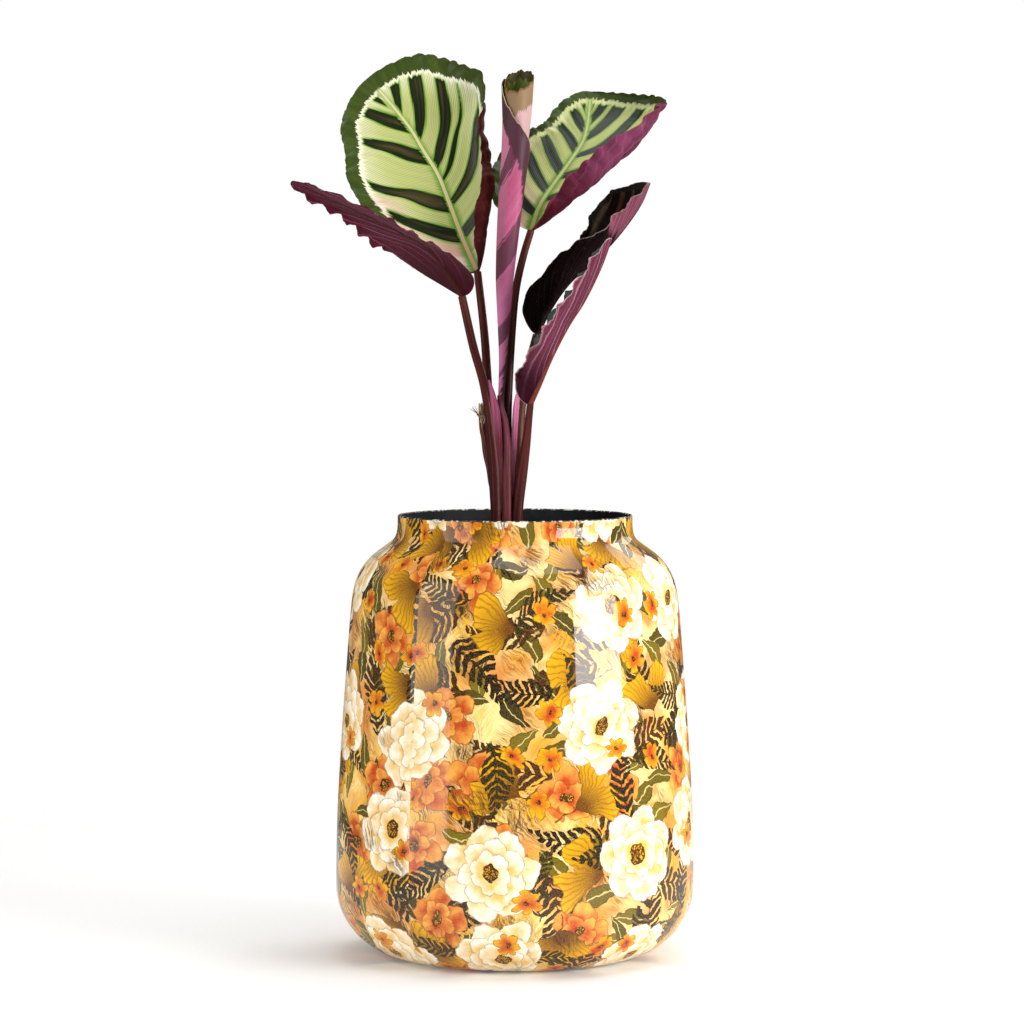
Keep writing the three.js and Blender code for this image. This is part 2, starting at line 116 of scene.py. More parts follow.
def along_curve(points: Sequence, share: np.ndarray) -> tuple[np.ndarray, np.ndarray, float]:
    """Follows a smooth curve through points by its share of length.

    Args:
        points: The points that it passes.
        share: Where to read it, from 0 to 1.

    Returns:
        Points, unit tangents and the whole length.
    """
    dense = np.linspace(0, 1, 3000)
    length = travelled(station(points, dense))
    place = np.interp(share * length[-1], length, dense)
    tangent = station(points, np.minimum(place + 1e-3, 1)) - station(
        points, np.maximum(place - 1e-3, 0))
    return station(points, place), unit(tangent), float(length[-1])


def travelled(points: np.ndarray) -> np.ndarray:
    """Length of a broken line up to each of its points."""
    return np.concatenate([[0], np.cumsum(np.linalg.norm(np.diff(points, axis=0), axis=1))])


def unit(vectors: np.ndarray) -> np.ndarray:
    """Scales vectors to length one."""
    return vectors / np.linalg.norm(vectors, axis=-1, keepdims=True)


def smooth(low: float, high: float, value: np.ndarray) -> np.ndarray:
    """Rises from 0 at low to 1 at high with soft ends."""
    t = np.clip((value - low) / (high - low), 0, 1)
    return t * t * (3 - 2 * t)


# Meshes


@dataclass
class Skin:
    """Points, faces and what the finishes read from a mesh that is being made."""

    points: np.ndarray
    faces: list[Face]
    parts: list[int] = field(default_factory=list)
    places: np.ndarray | None = None
    fields: dict[str, np.ndarray] = field(default_factory=dict)

    @classmethod
    def sheet(cls, upper: np.ndarray, lower: np.ndarray, places: np.ndarray,
              fields: dict[str, np.ndarray]) -> "Skin":
        """Closes two grids of points into a sheet.

        Args:
            upper: Rows of points of the upper face, which is part 0.
            lower: Those of the lower face, which with the rim is part 1.
            places: Flat place of each point of a grid.
            fields: What the finishes read at each point of a grid.

        Returns:
            The skin.
        """
        faces, parts = sheet_faces(*upper.shape[:2])
        return cls(np.vstack([upper.reshape(-1, 3), lower.reshape(-1, 3)]), faces, parts,
                   np.vstack([places, places]),
                   {key: np.tile(value.ravel(), 2) for key, value in fields.items()})

    @classmethod
    def tube(cls, points: np.ndarray, turn: np.ndarray, length: np.ndarray,
             along: np.ndarray, part: int = 0) -> "Skin":
        """Closes rings of points into a tube.

        Args:
            points: All points, ring after ring.
            turn: Flat place of each point of a ring.
            length: Flat place of each ring.
            along: Share of the whole length at each ring.
            part: Number of its finish.

        Returns:
            The skin.
        """
        faces = tube_faces(len(length), len(turn))
        places = np.column_stack([np.tile(turn, len(length)), np.repeat(length, len(turn))])
        return cls(points.reshape(-1, 3), faces, [part] * len(faces), places,
                   {"along": np.repeat(along, len(turn))})

    @classmethod
    def lathe(cls, rings: np.ndarray, first: float, last: float) -> "Skin":
        """Closes rings of points round the axis with a point on it at each end.

        Args:
            rings: Points, rings by places round the axis.
            first: Height of the point before the first ring.
            last: Height of the point after the last ring.

        Returns:
            The skin, the faces of the first and the last end by turns after all others.
        """
        count, around = rings.shape[:2]
        centre, end = count * around, (count - 1) * around
        faces = tube_faces(count, around)[:-2]
        for k in range(around):
            n = (k + 1) % around
            faces += [(centre, n, k), (centre + 1, end + k, end + n)]
        return cls(np.vstack([rings.reshape(-1, 3), [[0, 0, first], [0, 0, last]]]), faces)

    def join(self, other: "Skin") -> "Skin":
        """Adds another skin with the same fields.

        Args:
            other: The skin to add.

        Returns:
            This skin, with the other one in it.
        """
        start = len(self.points)
        self.points = np.vstack([self.points, other.points])
        self.faces = self.faces + [tuple(k + start for k in face) for face in other.faces]
        self.parts = self.parts + other.parts
        self.places = np.vstack([self.places, other.places])
        self.fields = {key: np.concatenate([values, other.fields[key]])
                       for key, values in self.fields.items()}
        return self

    def build(self, name: str, finishes: Sequence[bpy.types.Material], slot: str,
              sharp: float) -> bpy.types.Object:
        """Makes the Blender object of this skin.

        Args:
            name: Name of the piece.
            finishes: Materials, numbered as in parts.
            slot: Material slot of the record; not used.
            sharp: Angle between faces in degrees from which an edge stays crisp.

        Returns:
            The object, riding on the one body.
        """
        mesh = bpy.data.meshes.new(name)
        mesh.from_pydata((self.points * MM).tolist(), [], self.faces)
        for finish in finishes:
            mesh.materials.append(finish)
        if self.parts:
            mesh.polygons.foreach_set("material_index", self.parts)
        if self.places is not None:
            layer = mesh.uv_layers.new(name=LEAF_MAP)
            corners = np.empty(len(mesh.loops), int)
            mesh.loops.foreach_get("vertex_index", corners)
            layer.uv.foreach_set("vector", self.places[corners].astype(np.float32).ravel())
        for label, values in self.fields.items():
            layer = mesh.attributes.new(label, "FLOAT", "POINT")
            layer.data.foreach_set("value", values.astype(np.float32).ravel())
        mesh.shade_smooth()
        mesh.set_sharp_from_angle(angle=math.radians(sharp))
        mesh.update()
        piece = bpy.data.objects.new(name, mesh)
        bpy.context.scene.collection.objects.link(piece)
        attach(piece, ROOT)
        return piece


def sheet_faces(rows: int, columns: int) -> tuple[list[Face], list[int]]:
    """Faces of a closed sheet whose upper points come first and lower points after them.

    Args:
        rows: Rows of points.
        columns: Points in a row.

    Returns:
        Faces, and for each its part: 0 upper, 1 lower and rim.
    """
    under = rows * columns
    faces: list[Face] = []
    parts: list[int] = []
    for r in range(rows - 1):
        for c in range(columns - 1):
            a, b = r * columns + c, r * columns + c + 1
            d, e = a + columns, b + columns
            faces += [(a, b, e, d), (under + a, under + d, under + e, under + b)]
            parts += [0, 1]
    rim = list(range(columns)) + [r * columns + columns - 1 for r in range(1, rows)]
    rim += [(rows - 1) * columns + c for c in range(columns - 2, -1, -1)]
    rim += [r * columns for r in range(rows - 2, 0, -1)]
    for k, a in enumerate(rim):
        b = rim[(k + 1) % len(rim)]
        faces.append((a, under + a, under + b, b))
        parts.append(1)
    return faces, parts


def tube_faces(rings: int, around: int) -> list[Face]:
    """Faces of a closed skin over rings of points, with a cap at each end.

    Args:
        rings: Number of rings.
        around: Points in a ring.

    Returns:
        The faces, the two caps last.
    """
    faces: list[Face] = []
    for r in range(rings - 1):
        for k in range(around):
            n = (k + 1) % around
            a, b = r * around + k, r * around + n
            faces.append((a, b, b + around, a + around))
    last = (rings - 1) * around
    faces.append(tuple(range(around - 1, -1, -1)))
    faces.append(tuple(range(last, last + around)))
    return faces


def ring_angles(around: int) -> np.ndarray:
    """Angles of the points in a ring."""
    return 2 * np.pi * (np.arange(around) + 0.5) / around


def ring_points(centres: np.ndarray, tangents: np.ndarray, wide: np.ndarray, thick: np.ndarray,
                around: int) -> np.ndarray:
    """Rings of points round a stem.

    Args:
        centres: Middle of each ring.
        tangents: Direction of the stem at each ring.
        wide: Radius across, one for each ring, or for each point of each ring.
        thick: Radius front to back, likewise.
        around: Points in a ring.

    Returns:
        All points, ring after ring.
    """
    across = unit(np.cross(BACK, tangents))
    deep = np.cross(tangents, across)
    turn = ring_angles(around)
    wide = np.broadcast_to(np.asarray(wide).reshape(len(centres), -1), (len(centres), around))
    thick = np.broadcast_to(np.asarray(thick).reshape(len(centres), -1), wide.shape)
    rings = (centres[:, None] + (wide * np.cos(turn))[..., None] * across[:, None]
             + (thick * np.sin(turn))[..., None] * deep[:, None])
    return rings.reshape(-1, 3)


# Finishes. Their lengths are millimetres on the flat blade or wall, and "paint" lays each
# colour over those before it.


class Graph:
    """The shader nodes of one material or world, and the colour painted so far."""

    def __init__(self, name: str, world: bpy.types.World | None = None) -> None:
        """Starts without nodes.

        Args:
            name: Name of the material.
            world: The world to light instead of a new material, if any.
        """
        self.holder = world or bpy.data.materials.new(name)
        self.holder.use_nodes = True
        self.tree = self.holder.node_tree
        self.tree.nodes.clear()
        self.colour: Any = None

    def add(self, kind: str, *inputs: Any, out: int | str = 0,
            named: dict[str, Any] | None = None, **settings: Any) -> Socket:
        """Adds a node with its settings and links.

        Args:
            kind: Blender's name of the node without "ShaderNode", or the operation of a
                math node, in capitals.
            inputs: Sockets, numbers or sRGB hex colours for the first inputs in order.
            out: The output to return.
            named: More inputs by name.
            settings: Properties of the node.

        Returns:
            The chosen output socket, or the node if it has none.
        """
        if kind.isupper():
            kind, settings = "Math", settings | {"operation": kind}
        node = self.tree.nodes.new("ShaderNode" + kind)
        for key, value in settings.items():
            setattr(node, key, value)
        for key, value in (dict(enumerate(inputs)) | (named or {})).items():
            if isinstance(value, Socket):
                self.tree.links.new(value, node.inputs[key])
            else:
                plain = linear(value) if isinstance(value, str) else value
                node.inputs[key].default_value = plain
        return node.outputs[out] if len(node.outputs) else node

    def paint(self, *coats: tuple[Any, Any]) -> None:
        """Lays coats, each with its share and its colour, over those painted so far."""
        for share, over in coats:
            self.colour = self.add("MixRGB", share, self.colour, over)

    def finish(self, rough: Any, bump: Socket | None = None, depth: float = 0.2,
               **shader: Any) -> bpy.types.Material:
        """Closes the graph with its surface.

        Args:
            rough: Roughness, a socket or a number.
            bump: Height in millimetres, if the surface has relief.
            depth: Share of that height that shows.
            shader: Other inputs of the surface, their blanks written as underlines.

        Returns:
            The material.
        """
        named = {key.replace("_", " "): value for key, value in shader.items()}
        named |= {"Base Color": self.colour, "Roughness": rough}
        if bump is not None:
            named["Normal"] = self.add("Bump", named={
                "Strength": depth, "Distance": MM, "Height": bump})
        self.add("OutputMaterial", self.add("BsdfPrincipled", named=named))
        return self.holder


class VeinGraph(Graph):
    """A graph that reads the run of a blade's lateral veins and the fields of its mesh."""

    def read(self, label: str) -> Socket:
        """Reads one of the mesh's fields."""
        return self.add("Attribute", attribute_name=label, out="Fac")

    def fibres(self, across_veins: float, along_veins: float, seed: float = 0.0) -> Socket:
        """Noise drawn out along the lateral veins.

        Args:
            across_veins: Size of its grain across the veins, in millimetres.
            along_veins: Size of its grain along them.
            seed: Shifts the pattern.

        Returns:
            A number from about -1 to 1.
        """
        run = self.add("VectorMath", self.add("UVMap", uv_map=LEAF_MAP),
                       (1 / across_veins, 1 / along_veins, 1.0), operation="MULTIPLY")
        run = self.add("VectorMath", run, (seed, seed * 1.7, seed * 0.3), operation="ADD")
        grain = self.add("TexNoise", named={"Vector": run, "Scale": 1.0, "Detail": 2.0})
        return self.add("MapRange", grain, 0.25, 0.75, -1.0, 1.0)

    def ridges(self, spacing: float) -> Socket:
        """Fine parallel veins, from 0 between two of them to 1 on each.

        Args:
            spacing: Distance from vein to vein in millimetres.

        Returns:
            The height as a share.
        """
        run = self.add("SeparateXYZ", self.add("UVMap", uv_map=LEAF_MAP))
        wander = self.add("MULTIPLY_ADD", self.fibres(9.0, 60.0, 4.0), 0.25 * spacing, run)
        wave = self.add("SINE", self.add("MULTIPLY", wander, math.tau / spacing))
        return self.add("MULTIPLY_ADD", wave, 0.5, 0.5)

    def edge(self, value: Socket, fringe: Socket, reach: float, soft: float) -> Socket:
        """Rises from 0 to 1 where a field passes zero, frayed by a reach in millimetres."""
        return self.add("MapRange", self.add("MULTIPLY_ADD", fringe, reach, value), -soft, soft,
                        **SOFT)


@dataclass(frozen=True)
class LeafUpperFace:
    """The living upper epidermis: satiny, with pale chlorophyll-poor panels, dark velvety
    stripes along the lateral veins and a deep green margin behind a frayed pale line. Its
    waxy cuticle gives broad soft glints, and its fine veins a silky grain. The green margin
    is "zone" wide, and "growth" wider at the tip."""

    name: str
    ground: str = "#c6ce78"
    outer: str = "#e8e6ba"
    line: str = "#74882c"
    halo: str = "#5c9a00"
    stripe: str = "#121c09"
    # sheen: a painted sheen that lightens the hearts of the dark stripes.
    sheen: str = "#52462a"
    margin: str = "#3e4a10"
    cream: str = "#f6f4dc"
    blush: str = "#dfa8a2"
    midrib: str = "#e6dba8"
    midrib_base: str = "#cf9c86"
    rough: float = 0.4
    blush_share: float = 0.95
    zone: float = 7.2
    growth: float = 2.6

    def make(self) -> bpy.types.Material:
        """Builds the material.

        Returns:
            The material.
        """
        g = VeinGraph(self.name)
        along, across, edge = g.read("along"), g.read("across"), g.read("edge")
        side, end = g.read("stripe_side"), g.read("stripe_end")
        fine, fringe = g.ridges(VEIN_PITCH), g.fibres(*FRINGE)
        ragged = g.add("MULTIPLY_ADD", g.fibres(2.6, 30.0, 7.0), 0.7, fringe)
        # The pale panels, their silky lines and the pink blush near the base.
        fade = g.add("MapRange", edge, 26.0, 7.0, **SOFT)
        g.colour = g.add("MixRGB", fade, self.ground, self.outer)
        g.paint((g.add("MULTIPLY", fine, 0.6), self.line),
                (g.add("MapRange", g.fibres(0.5, 20.0, 5.0), -1.0, 1.0, 0.0, 0.25), self.outer))
        pale = g.add("MULTIPLY_ADD", ragged, 2.2, edge)
        g.paint((g.add("MapRange", pale, self.zone + 5.2, self.zone + 1.2, 0.0, 0.95, **SOFT),
                 self.cream))
        low = g.add("MapRange", along, 0.62, 0.3, 0.0, self.blush_share)
        patch = g.add("MULTIPLY", g.add("MapRange", g.fibres(16.0, 22.0, 3.0), -0.5, 0.3), low)
        g.paint((g.add("MULTIPLY", patch, fade), self.blush))
        # The green along the midrib and round each stripe, and the stripes.
        near = g.add("SUBTRACT", g.add("MapRange", along, 0.0, 0.85, 4.2, 1.0), across)
        g.paint((g.add("MULTIPLY", g.edge(near, ragged, 0.8, 2.0), 0.9), self.halo))
        stripe = g.add("MINIMUM", g.add("MULTIPLY_ADD", fringe, 0.45, side),
                       g.add("MULTIPLY_ADD", ragged, 0.9, end))
        g.paint((g.add("MapRange", stripe, -1.3, -0.1, 0.0, 0.85, **SOFT), self.halo))
        # The stripes' hearts take the sheen colour: a painted sheen, olive-brown in their middles.
        heart = g.add("MapRange", g.fibres(3.2, 26.0, 9.0), -0.3, 0.6, 0.0, 0.9)
        inside = g.add("MixRGB", g.add("MULTIPLY", g.add("MapRange", stripe, 0.6, 2.2), heart),
                       self.stripe, self.sheen)
        dark = g.add("MapRange", stripe, -0.25, 0.3, **SOFT)
        g.paint((dark, g.add("MixRGB", g.add("MULTIPLY", fine, 0.18), inside, self.margin)))
        # The grooved midrib, warmer towards its base.
        rib = g.add("SUBTRACT", g.add("MapRange", along, 0.0, 1.0, 1.25, 0.45), across)
        warm = g.add("MixRGB", g.add("MapRange", along, 0.0, 0.45), self.midrib_base, self.midrib)
        warm = g.add("MixRGB", g.add("MapRange", across, 0.35, 0.0, 0.0, 0.45), warm,
                     self.midrib_base)
        g.paint((g.add("MapRange", rib, -0.12, 0.2), warm))
        # The green margin, which ends before the blade's base.
        border = g.add("SUBTRACT", g.add("MULTIPLY_ADD", ragged, 1.35, edge),
                       g.add("MapRange", along, 0.4, 1.0, 0.0, self.growth))
        border = g.add("ADD", border, g.add("MapRange", along, 0.02, 0.16, 6.0, 0.0))
        cloudy = g.add("MapRange", g.fibres(5.0, 9.0, 2.0), -0.6, 1.0, 0.0, 0.6)
        green = g.add("MixRGB", cloudy, self.margin, self.stripe)
        g.paint((g.add("MapRange", border, self.zone, self.zone - 0.6, **SOFT),
                 g.add("MixRGB", g.add("MULTIPLY", fine, 0.12), green, self.halo)))
        lift = g.add("MULTIPLY_ADD", g.ridges(CORD_PITCH), 0.5, fine)
        lift = g.add("MULTIPLY_ADD", g.fibres(0.45, 1.4, 6.0), 0.25, lift)
        matt = g.add("MapRange", dark, 0.0, 1.0, self.rough + 0.05, self.rough - 0.05)
        return g.finish(matt, lift, 0.13, IOR=1.45, Specular_IOR_Level=0.3,
                        Coat_Weight=0.08, Coat_Roughness=0.25)


@dataclass(frozen=True)
class LeafUnderside:
    """The lower epidermis, coloured by anthocyanin: burgundy with a satin glint, its lateral
    veins standing up as fine lighter cords that catch the light. The base colour gives way
    to the body colour between the shares of the blade in "turns_at", and a cord is as broad
    as the part of its wave above "cord_from"."""

    name: str
    body: str = "#5c2338"
    deep: str = "#3a1220"
    vein: str = "#8c4660"
    base: str = "#4a1c2c"
    midrib: str = "#7c4028"
    margin: str = "#4a2a30"
    rough: float = 0.4
    turns_at: tuple[float, float] = (0.05, 0.5)
    # strand: how strongly the raised cords are painted paler, partly their own colour and partly
    # painted highlight.
    strand: float = 0.5
    cord_pitch: float = CORD_PITCH
    cord_from: float = 0.93
    gloss: float = 0.06
    relief: float = 0.2

    def make(self) -> bpy.types.Material:
        """Builds the material.

        Returns:
            The material.
        """
        g = VeinGraph(self.name)
        along, across, edge = g.read("along"), g.read("across"), g.read("edge")
        fine, cord = g.ridges(VEIN_PITCH), g.ridges(self.cord_pitch)
        reach = g.add("MULTIPLY_ADD", g.fibres(9.0, 30.0, 11.0), 0.05, along)
        # The base colour at the blade's foot gives way to the body colour; on blade_right the
        # near-black base is painted shade.
        low = g.add("MapRange", reach, *self.turns_at, **SOFT)
        g.colour = g.add("MixRGB", low, self.base, self.body)
        cloud = g.add("MapRange", g.fibres(9.0, 30.0, 3.0), -0.7, 0.9, 0.0, 0.6)
        living = g.add("MULTIPLY_ADD", low, 0.96, 0.04)
        # Darker cloud and stripe tints, the fine veins' paler colour, and the raised cords painted
        # paler: partly their own colour, partly painted highlight.
        for share, over in (
                (cloud, self.deep),
                (g.add("MapRange", g.read("stripe_side"), -0.8, 0.8, 0.0, 0.5, **SOFT), self.deep),
                (g.add("MapRange", fine, 0.55, 1.0, 0.0, 0.12), self.vein),
                (g.add("MapRange", cord, self.cord_from, 1.0, 0.0, self.strand), self.vein)):
            g.paint((g.add("MULTIPLY", share, living), over))
        g.paint((g.add("MapRange", edge, 0.55, 0.15, 0.0, 0.7), self.margin))
        rib = g.add("SUBTRACT", g.add("MapRange", along, 0.0, 1.0, 1.7, 0.6), across)
        g.paint((g.add("MapRange", rib, -0.3, 0.3, 0.0, 0.9), self.midrib),
                (g.add("MapRange", g.fibres(0.5, 0.7, 8.0), 0.75, 1.0, 0.0, 0.25), self.vein))
        lift = g.add("MULTIPLY_ADD", fine, 0.5, g.add("MapRange", cord, 0.7, 1.0, 0.0, 1.4))
        lift = g.add("MULTIPLY_ADD", g.fibres(0.5, 1.6, 6.0), 0.25, lift)
        matt = g.add("MapRange", cloud, 0.0, 0.6, self.rough, self.rough + 0.1)
        return g.finish(matt, lift, self.relief, IOR=1.35, Specular_IOR_Level=self.gloss)


@dataclass(frozen=True)
class RolledLeafOutside:
    """The underside of the unopened leaf, still without green: thin pink tissue, mauve along
    its free margin, with slanting maroon stripes and a soft waxy bloom. Where the inner turn
    shows it is pale, and tan near the top."""

    name: str
    pink: str = "#b0527a"
    rose: str = "#a03a60"
    mauve: str = "#4e2a38"
    maroon: str = "#44222c"
    light: str = "#bc9c96"
    tan: str = "#8e7454"
    vein: str = "#da8eac"
    dried: str = "#6a4a22"
    rimline: str = "#c4b283"
    lilac: str = "#b06a9a"

    def make(self) -> bpy.types.Material:
        """Builds the material.

        Returns:
            The material.
        """
        g = VeinGraph(self.name)
        edge, top, inner = g.read("edge"), g.read("top"), g.read("inner")
        fine, fringe = g.ridges(ROLLED_VEIN_PITCH), g.fibres(*FRINGE)
        ragged = g.add("MULTIPLY_ADD", g.fibres(3.4, 40.0, 7.0), 1.1, fringe)
        # Outer turn.
        g.colour = g.add("MixRGB", g.add("MapRange", g.fibres(8.0, 34.0, 3.0), -0.5, 0.7),
                         self.pink, self.rose)
        # A painted highlight on the side that faces left, in the veins' paler colour.
        g.paint((g.read("left_light"), self.vein),
                (g.add("MapRange", top, 70.0, 150.0, 0.0, 0.6), self.lilac),
                (g.add("MapRange", fine, 0.4, 1.0, 0.0, 0.4), self.vein),
                (g.add("MULTIPLY", g.edge(g.read("stripe_side"), ragged, 1.0, 0.5), 0.8),
                 self.maroon))
        border = g.add("MULTIPLY_ADD", ragged, 1.1, edge)
        border = g.add("ADD", border, g.add("MapRange", top, 40.0, 90.0, 0.0, 5.0))
        g.paint((g.add("MapRange", border, 11.4, 10.4, **SOFT),
                 g.add("MixRGB", g.add("MULTIPLY", fine, 0.25), self.mauve, self.maroon)))
        # Inner turn, rim line and scorched top.
        blush = g.add("MixRGB", g.add("MULTIPLY", fine, 0.3), self.light, self.vein)
        sand = g.add("MixRGB", g.add("MULTIPLY", fine, 0.25), self.tan, self.dried)
        cap = g.add("MapRange", g.add("MULTIPLY_ADD", ragged, 1.6, top), 13.5, 12.5)
        g.paint((inner, g.add("MixRGB", cap, blush, sand)),
                (g.add("MapRange", edge, 0.6, 0.2, 0.0, 0.7), self.rimline))
        singed = g.add("MapRange", g.add("MULTIPLY_ADD", fringe, 0.8, top), 1.6, 0.6)
        g.paint((g.add("MULTIPLY", singed, inner), self.dried))
        lift = g.add("MULTIPLY_ADD", g.ridges(6.0), 0.5, fine)
        lift = g.add("MULTIPLY_ADD", g.fibres(0.5, 1.6, 6.0), 0.3, lift)
        return g.finish(0.42, lift, 0.16, IOR=1.45, Specular_IOR_Level=0.18,
                        Coat_Weight=0.06, Coat_Roughness=0.3)


@dataclass(frozen=True)
class RolledLeafInside:
    """The upper epidermis of the unopened leaf, seen down its mouth: olive green, matt and
    finely lined, scorched along its rim."""

    name: str
    olive: str = "#66741c"
    dark: str = "#333f10"
    scorched: str = "#3a2412"

    def make(self) -> bpy.types.Material:
        """Builds the material.

        Returns:
            The material.
        """
        g = VeinGraph(self.name)
        fine = g.ridges(ROLLED_VEIN_PITCH)
        stripe = g.edge(g.read("stripe_side"), g.fibres(*FRINGE), 0.4, 0.5)
        g.colour = g.add("MixRGB", stripe, self.olive, self.dark)
        g.paint((g.add("MULTIPLY", fine, 0.35), self.dark))
        scorch = g.add("MULTIPLY_ADD", g.fibres(5.0, 5.0, 3.0), 3.5, g.read("top"))
        g.paint((g.add("MapRange", scorch, 4.5, 3.5, 0.0, 0.85), self.scorched))
        return g.finish(0.5, fine, 0.12, IOR=1.45, Specular_IOR_Level=0.3)


@dataclass(frozen=True)
class StemSkin:
    """The ribbed epidermis of a leaf stalk: maroon over brown, a satin sheen along its ribs
    and rows of small pale pores."""

    name: str
    body: str = "#421210"
    # light: colour of the painted sheen along the ribs, and of the pale pores.
    light: str = "#702a22"
    deep: str = "#200908"
    top: str = "#5c241c"
    foot: str = "#46261a"
    rough: float = 0.4

    def make(self) -> bpy.types.Material:
        """Builds the material.

        Returns:
            The material.
        """
        g = VeinGraph(self.name)
        along = g.read("along")
        g.colour = g.add("MixRGB", g.add("MapRange", along, 0.45, 1.0), self.body, self.top)
        g.paint((g.add("MapRange", along, 0.3, 0.12, 0.0, 0.7), self.foot),
                (g.add("MapRange", g.fibres(1.6, 30.0, 3.0), -0.3, 0.9, 0.0, 0.75), self.deep))
        # The paler streaks along the ribs are a painted sheen; the pale pores are the skin's own
        # colour.
        rib = g.add("MapRange", g.fibres(0.7, 60.0, 1.0), 0.15, 0.8, 0.0, 0.5)
        pores = g.fibres(0.35, 1.1, 8.0)
        for share in (rib, g.add("MapRange", pores, 0.65, 0.9, 0.0, 0.5)):
            g.paint((share, self.light))
        return g.finish(self.rough, g.add("MULTIPLY_ADD", pores, 0.3, rib), 0.25, IOR=1.45,
                        Specular_IOR_Level=0.16, Coat_Weight=0.07, Coat_Roughness=0.25)


@dataclass(frozen=True)
class DryHusk:
    """A stalk that has died back: papery tan over brown, split into matt fibres."""

    name: str = "dry_husk"
    straw: str = "#d6b894"
    brown: str = "#5e302a"
    dark: str = "#2c1210"

    def make(self) -> bpy.types.Material:
        """Builds the material.

        Returns:
            The material.
        """
        g = VeinGraph(self.name)
        strand, patch = g.fibres(0.45, 22.0, 2.0), g.fibres(2.2, 12.0, 5.0)
        g.colour = g.add("MixRGB", g.add("MapRange", strand, 0.1, 0.9, 0.0, 0.3), self.brown,
                         self.straw)
        g.paint((g.add("MapRange", patch, 0.1, 0.9, 0.0, 0.6), self.dark))
        shred = g.add("MULTIPLY_ADD", strand, 0.1,
                      g.add("MULTIPLY_ADD", patch, 0.05, g.read("along")))
        g.paint((g.add("MapRange", shred, 0.92, 0.99, 0.0, 0.95), self.straw))
        return g.finish(0.85, strand, 0.5, IOR=1.4, Specular_IOR_Level=0.08)


@dataclass(frozen=True)
class Scatter:
    """How one printed motif is strewn over the vase, in millimetres of its wall."""

    cell: float
    share: float
    jitter: float
    shift: tuple[float, float]


class PrintGraph(Graph):
    """The ink layer of the vase: its places on the wall and what prints a motif there."""

    def __init__(self, name: str) -> None:
        """Lays out the wall, straight and as brush work bends it.

        Args:
            name: Name of the material.
        """
        super().__init__(name)
        self.place = self.bent = self.add("UVMap", uv_map=LEAF_MAP)
        for scale, reach in ((0.045, 13.0), (0.2, 3.0)):
            ripple = self.add("TexNoise", out="Color",
                              named={"Vector": self.place, "Scale": scale, "Detail": 3.0})
            ripple = self.add("VectorMath", ripple, (0.5, 0.5, 0.5), operation="SUBTRACT")
            ripple = self.add("VectorMath", ripple, (reach, reach, 0.0), operation="MULTIPLY")
            self.bent = self.add("VectorMath", ripple, self.bent, operation="ADD")
        self.bleed, self.wet = (
            self.add("SUBTRACT", self.add("TexNoise", named={
                "Vector": self.place, "Scale": scale, "Detail": detail}), 0.5)
            for scale, detail in ((0.35, 3.0), (0.11, 4.0)))

    def cells(self, how: Scatter) -> tuple[Socket, Socket, Socket]:
        """Gives each motif its own turned place to draw in.

        Args:
            how: Spacing of the motif.

        Returns:
            The place from the motif's middle in millimetres, whether this cell holds one,
            and a random number of the cell.
        """
        run = self.add("VectorMath", self.bent, (*how.shift, 0.0), operation="ADD")
        run = self.add("VectorMath", run, (1 / how.cell, 1 / how.cell, 0.0), operation="MULTIPLY")
        middle = self.add("TexVoronoi", out="Position", voronoi_dimensions="2D",
                          named={"Vector": run, "Scale": 1.0, "Randomness": how.jitter})
        turn, chance, tint = self.add("SeparateXYZ", middle.node.outputs["Color"]).node.outputs
        local = self.add("VectorMath", run, middle, operation="SUBTRACT")
        local = self.add("VectorMath", local, (how.cell, how.cell, 0.0), operation="MULTIPLY")
        turned = self.add("VectorRotate", local, rotation_type="Z_AXIS",
                          named={"Angle": self.add("MULTIPLY", turn, math.tau)})
        return turned, self.add("LESS_THAN", chance, how.share), tint

    def polar(self, local: Socket) -> tuple[Socket, Socket]:
        """Measures round a motif's middle.

        Args:
            local: The place from there.

        Returns:
            Distance and angle.
        """
        x, y, _ = self.add("SeparateXYZ", local).node.outputs
        reach = self.add("VectorMath", local, out="Value", operation="LENGTH")
        return reach, self.add("ARCTAN2", y, x)

    def spine(self, how: Scatter, length: float, bend: float) -> tuple[Socket, ...]:
        """Lays a bowed stalk through each motif.

        Args:
            how: Spacing of the motif.
            length: Length of the stalk.
            bend: How far it bows.

        Returns:
            Place along it, distance from it, whether the cell holds one, and a random number.
        """
        local, held, tint = self.cells(how)
        x, y, _ = self.add("SeparateXYZ", local).node.outputs
        bow = self.add("MULTIPLY_ADD", self.add("MULTIPLY", x, x), bend / length, y)
        return x, self.add("ABSOLUTE", bow), held, tint

    def ink(self, over: Any, inside: Socket, held: Socket, line: str, weight: float) -> None:
        """Prints a shape that bleeds a little, with a fine darker outline.

        Args:
            over: Colour of the shape.
            inside: Depth inside the shape in millimetres.
            held: Whether the cell holds one.
            line: Colour of the outline.
            weight: Strength of the outline.
        """
        inside = self.add("MULTIPLY_ADD", self.bleed, 2.2, inside)
        body = self.add("MixRGB", self.add("MapRange", inside, 0.9, 0.1, 0.0, weight), over, line)
        self.paint((self.add("MULTIPLY", self.add("MapRange", inside, -0.1, 0.15), held), body))

    def brushwork(self, angle: float, scale: float, level: float, ink: str) -> None:
        """Washes patches of the ground with dry brush strokes.

        Args:
            angle: Direction of the strokes.
            scale: How close the patches lie, per millimetre.
            level: Height of the noise at which a patch begins.
            ink: Colour of the wash.
        """
        turned = self.add("VectorRotate", self.bent, rotation_type="Z_AXIS",
                          named={"Angle": angle})
        patch = self.add("TexNoise", named={"Vector": turned, "Scale": scale, "Detail": 3.0})
        patch = self.add("MapRange", patch, level, level + 0.1)
        hairs = self.add("VectorMath", turned, (0.09, 1.1, 0.0), operation="MULTIPLY")
        hairs = self.add("TexNoise", named={
            "Vector": hairs, "Scale": 1.0, "Detail": 4.0, "Distortion": 0.6})
        hairs = self.add("MapRange", hairs, 0.42, 0.6, 0.0, 0.9)
        self.paint((self.add("MULTIPLY", patch, hairs), ink))


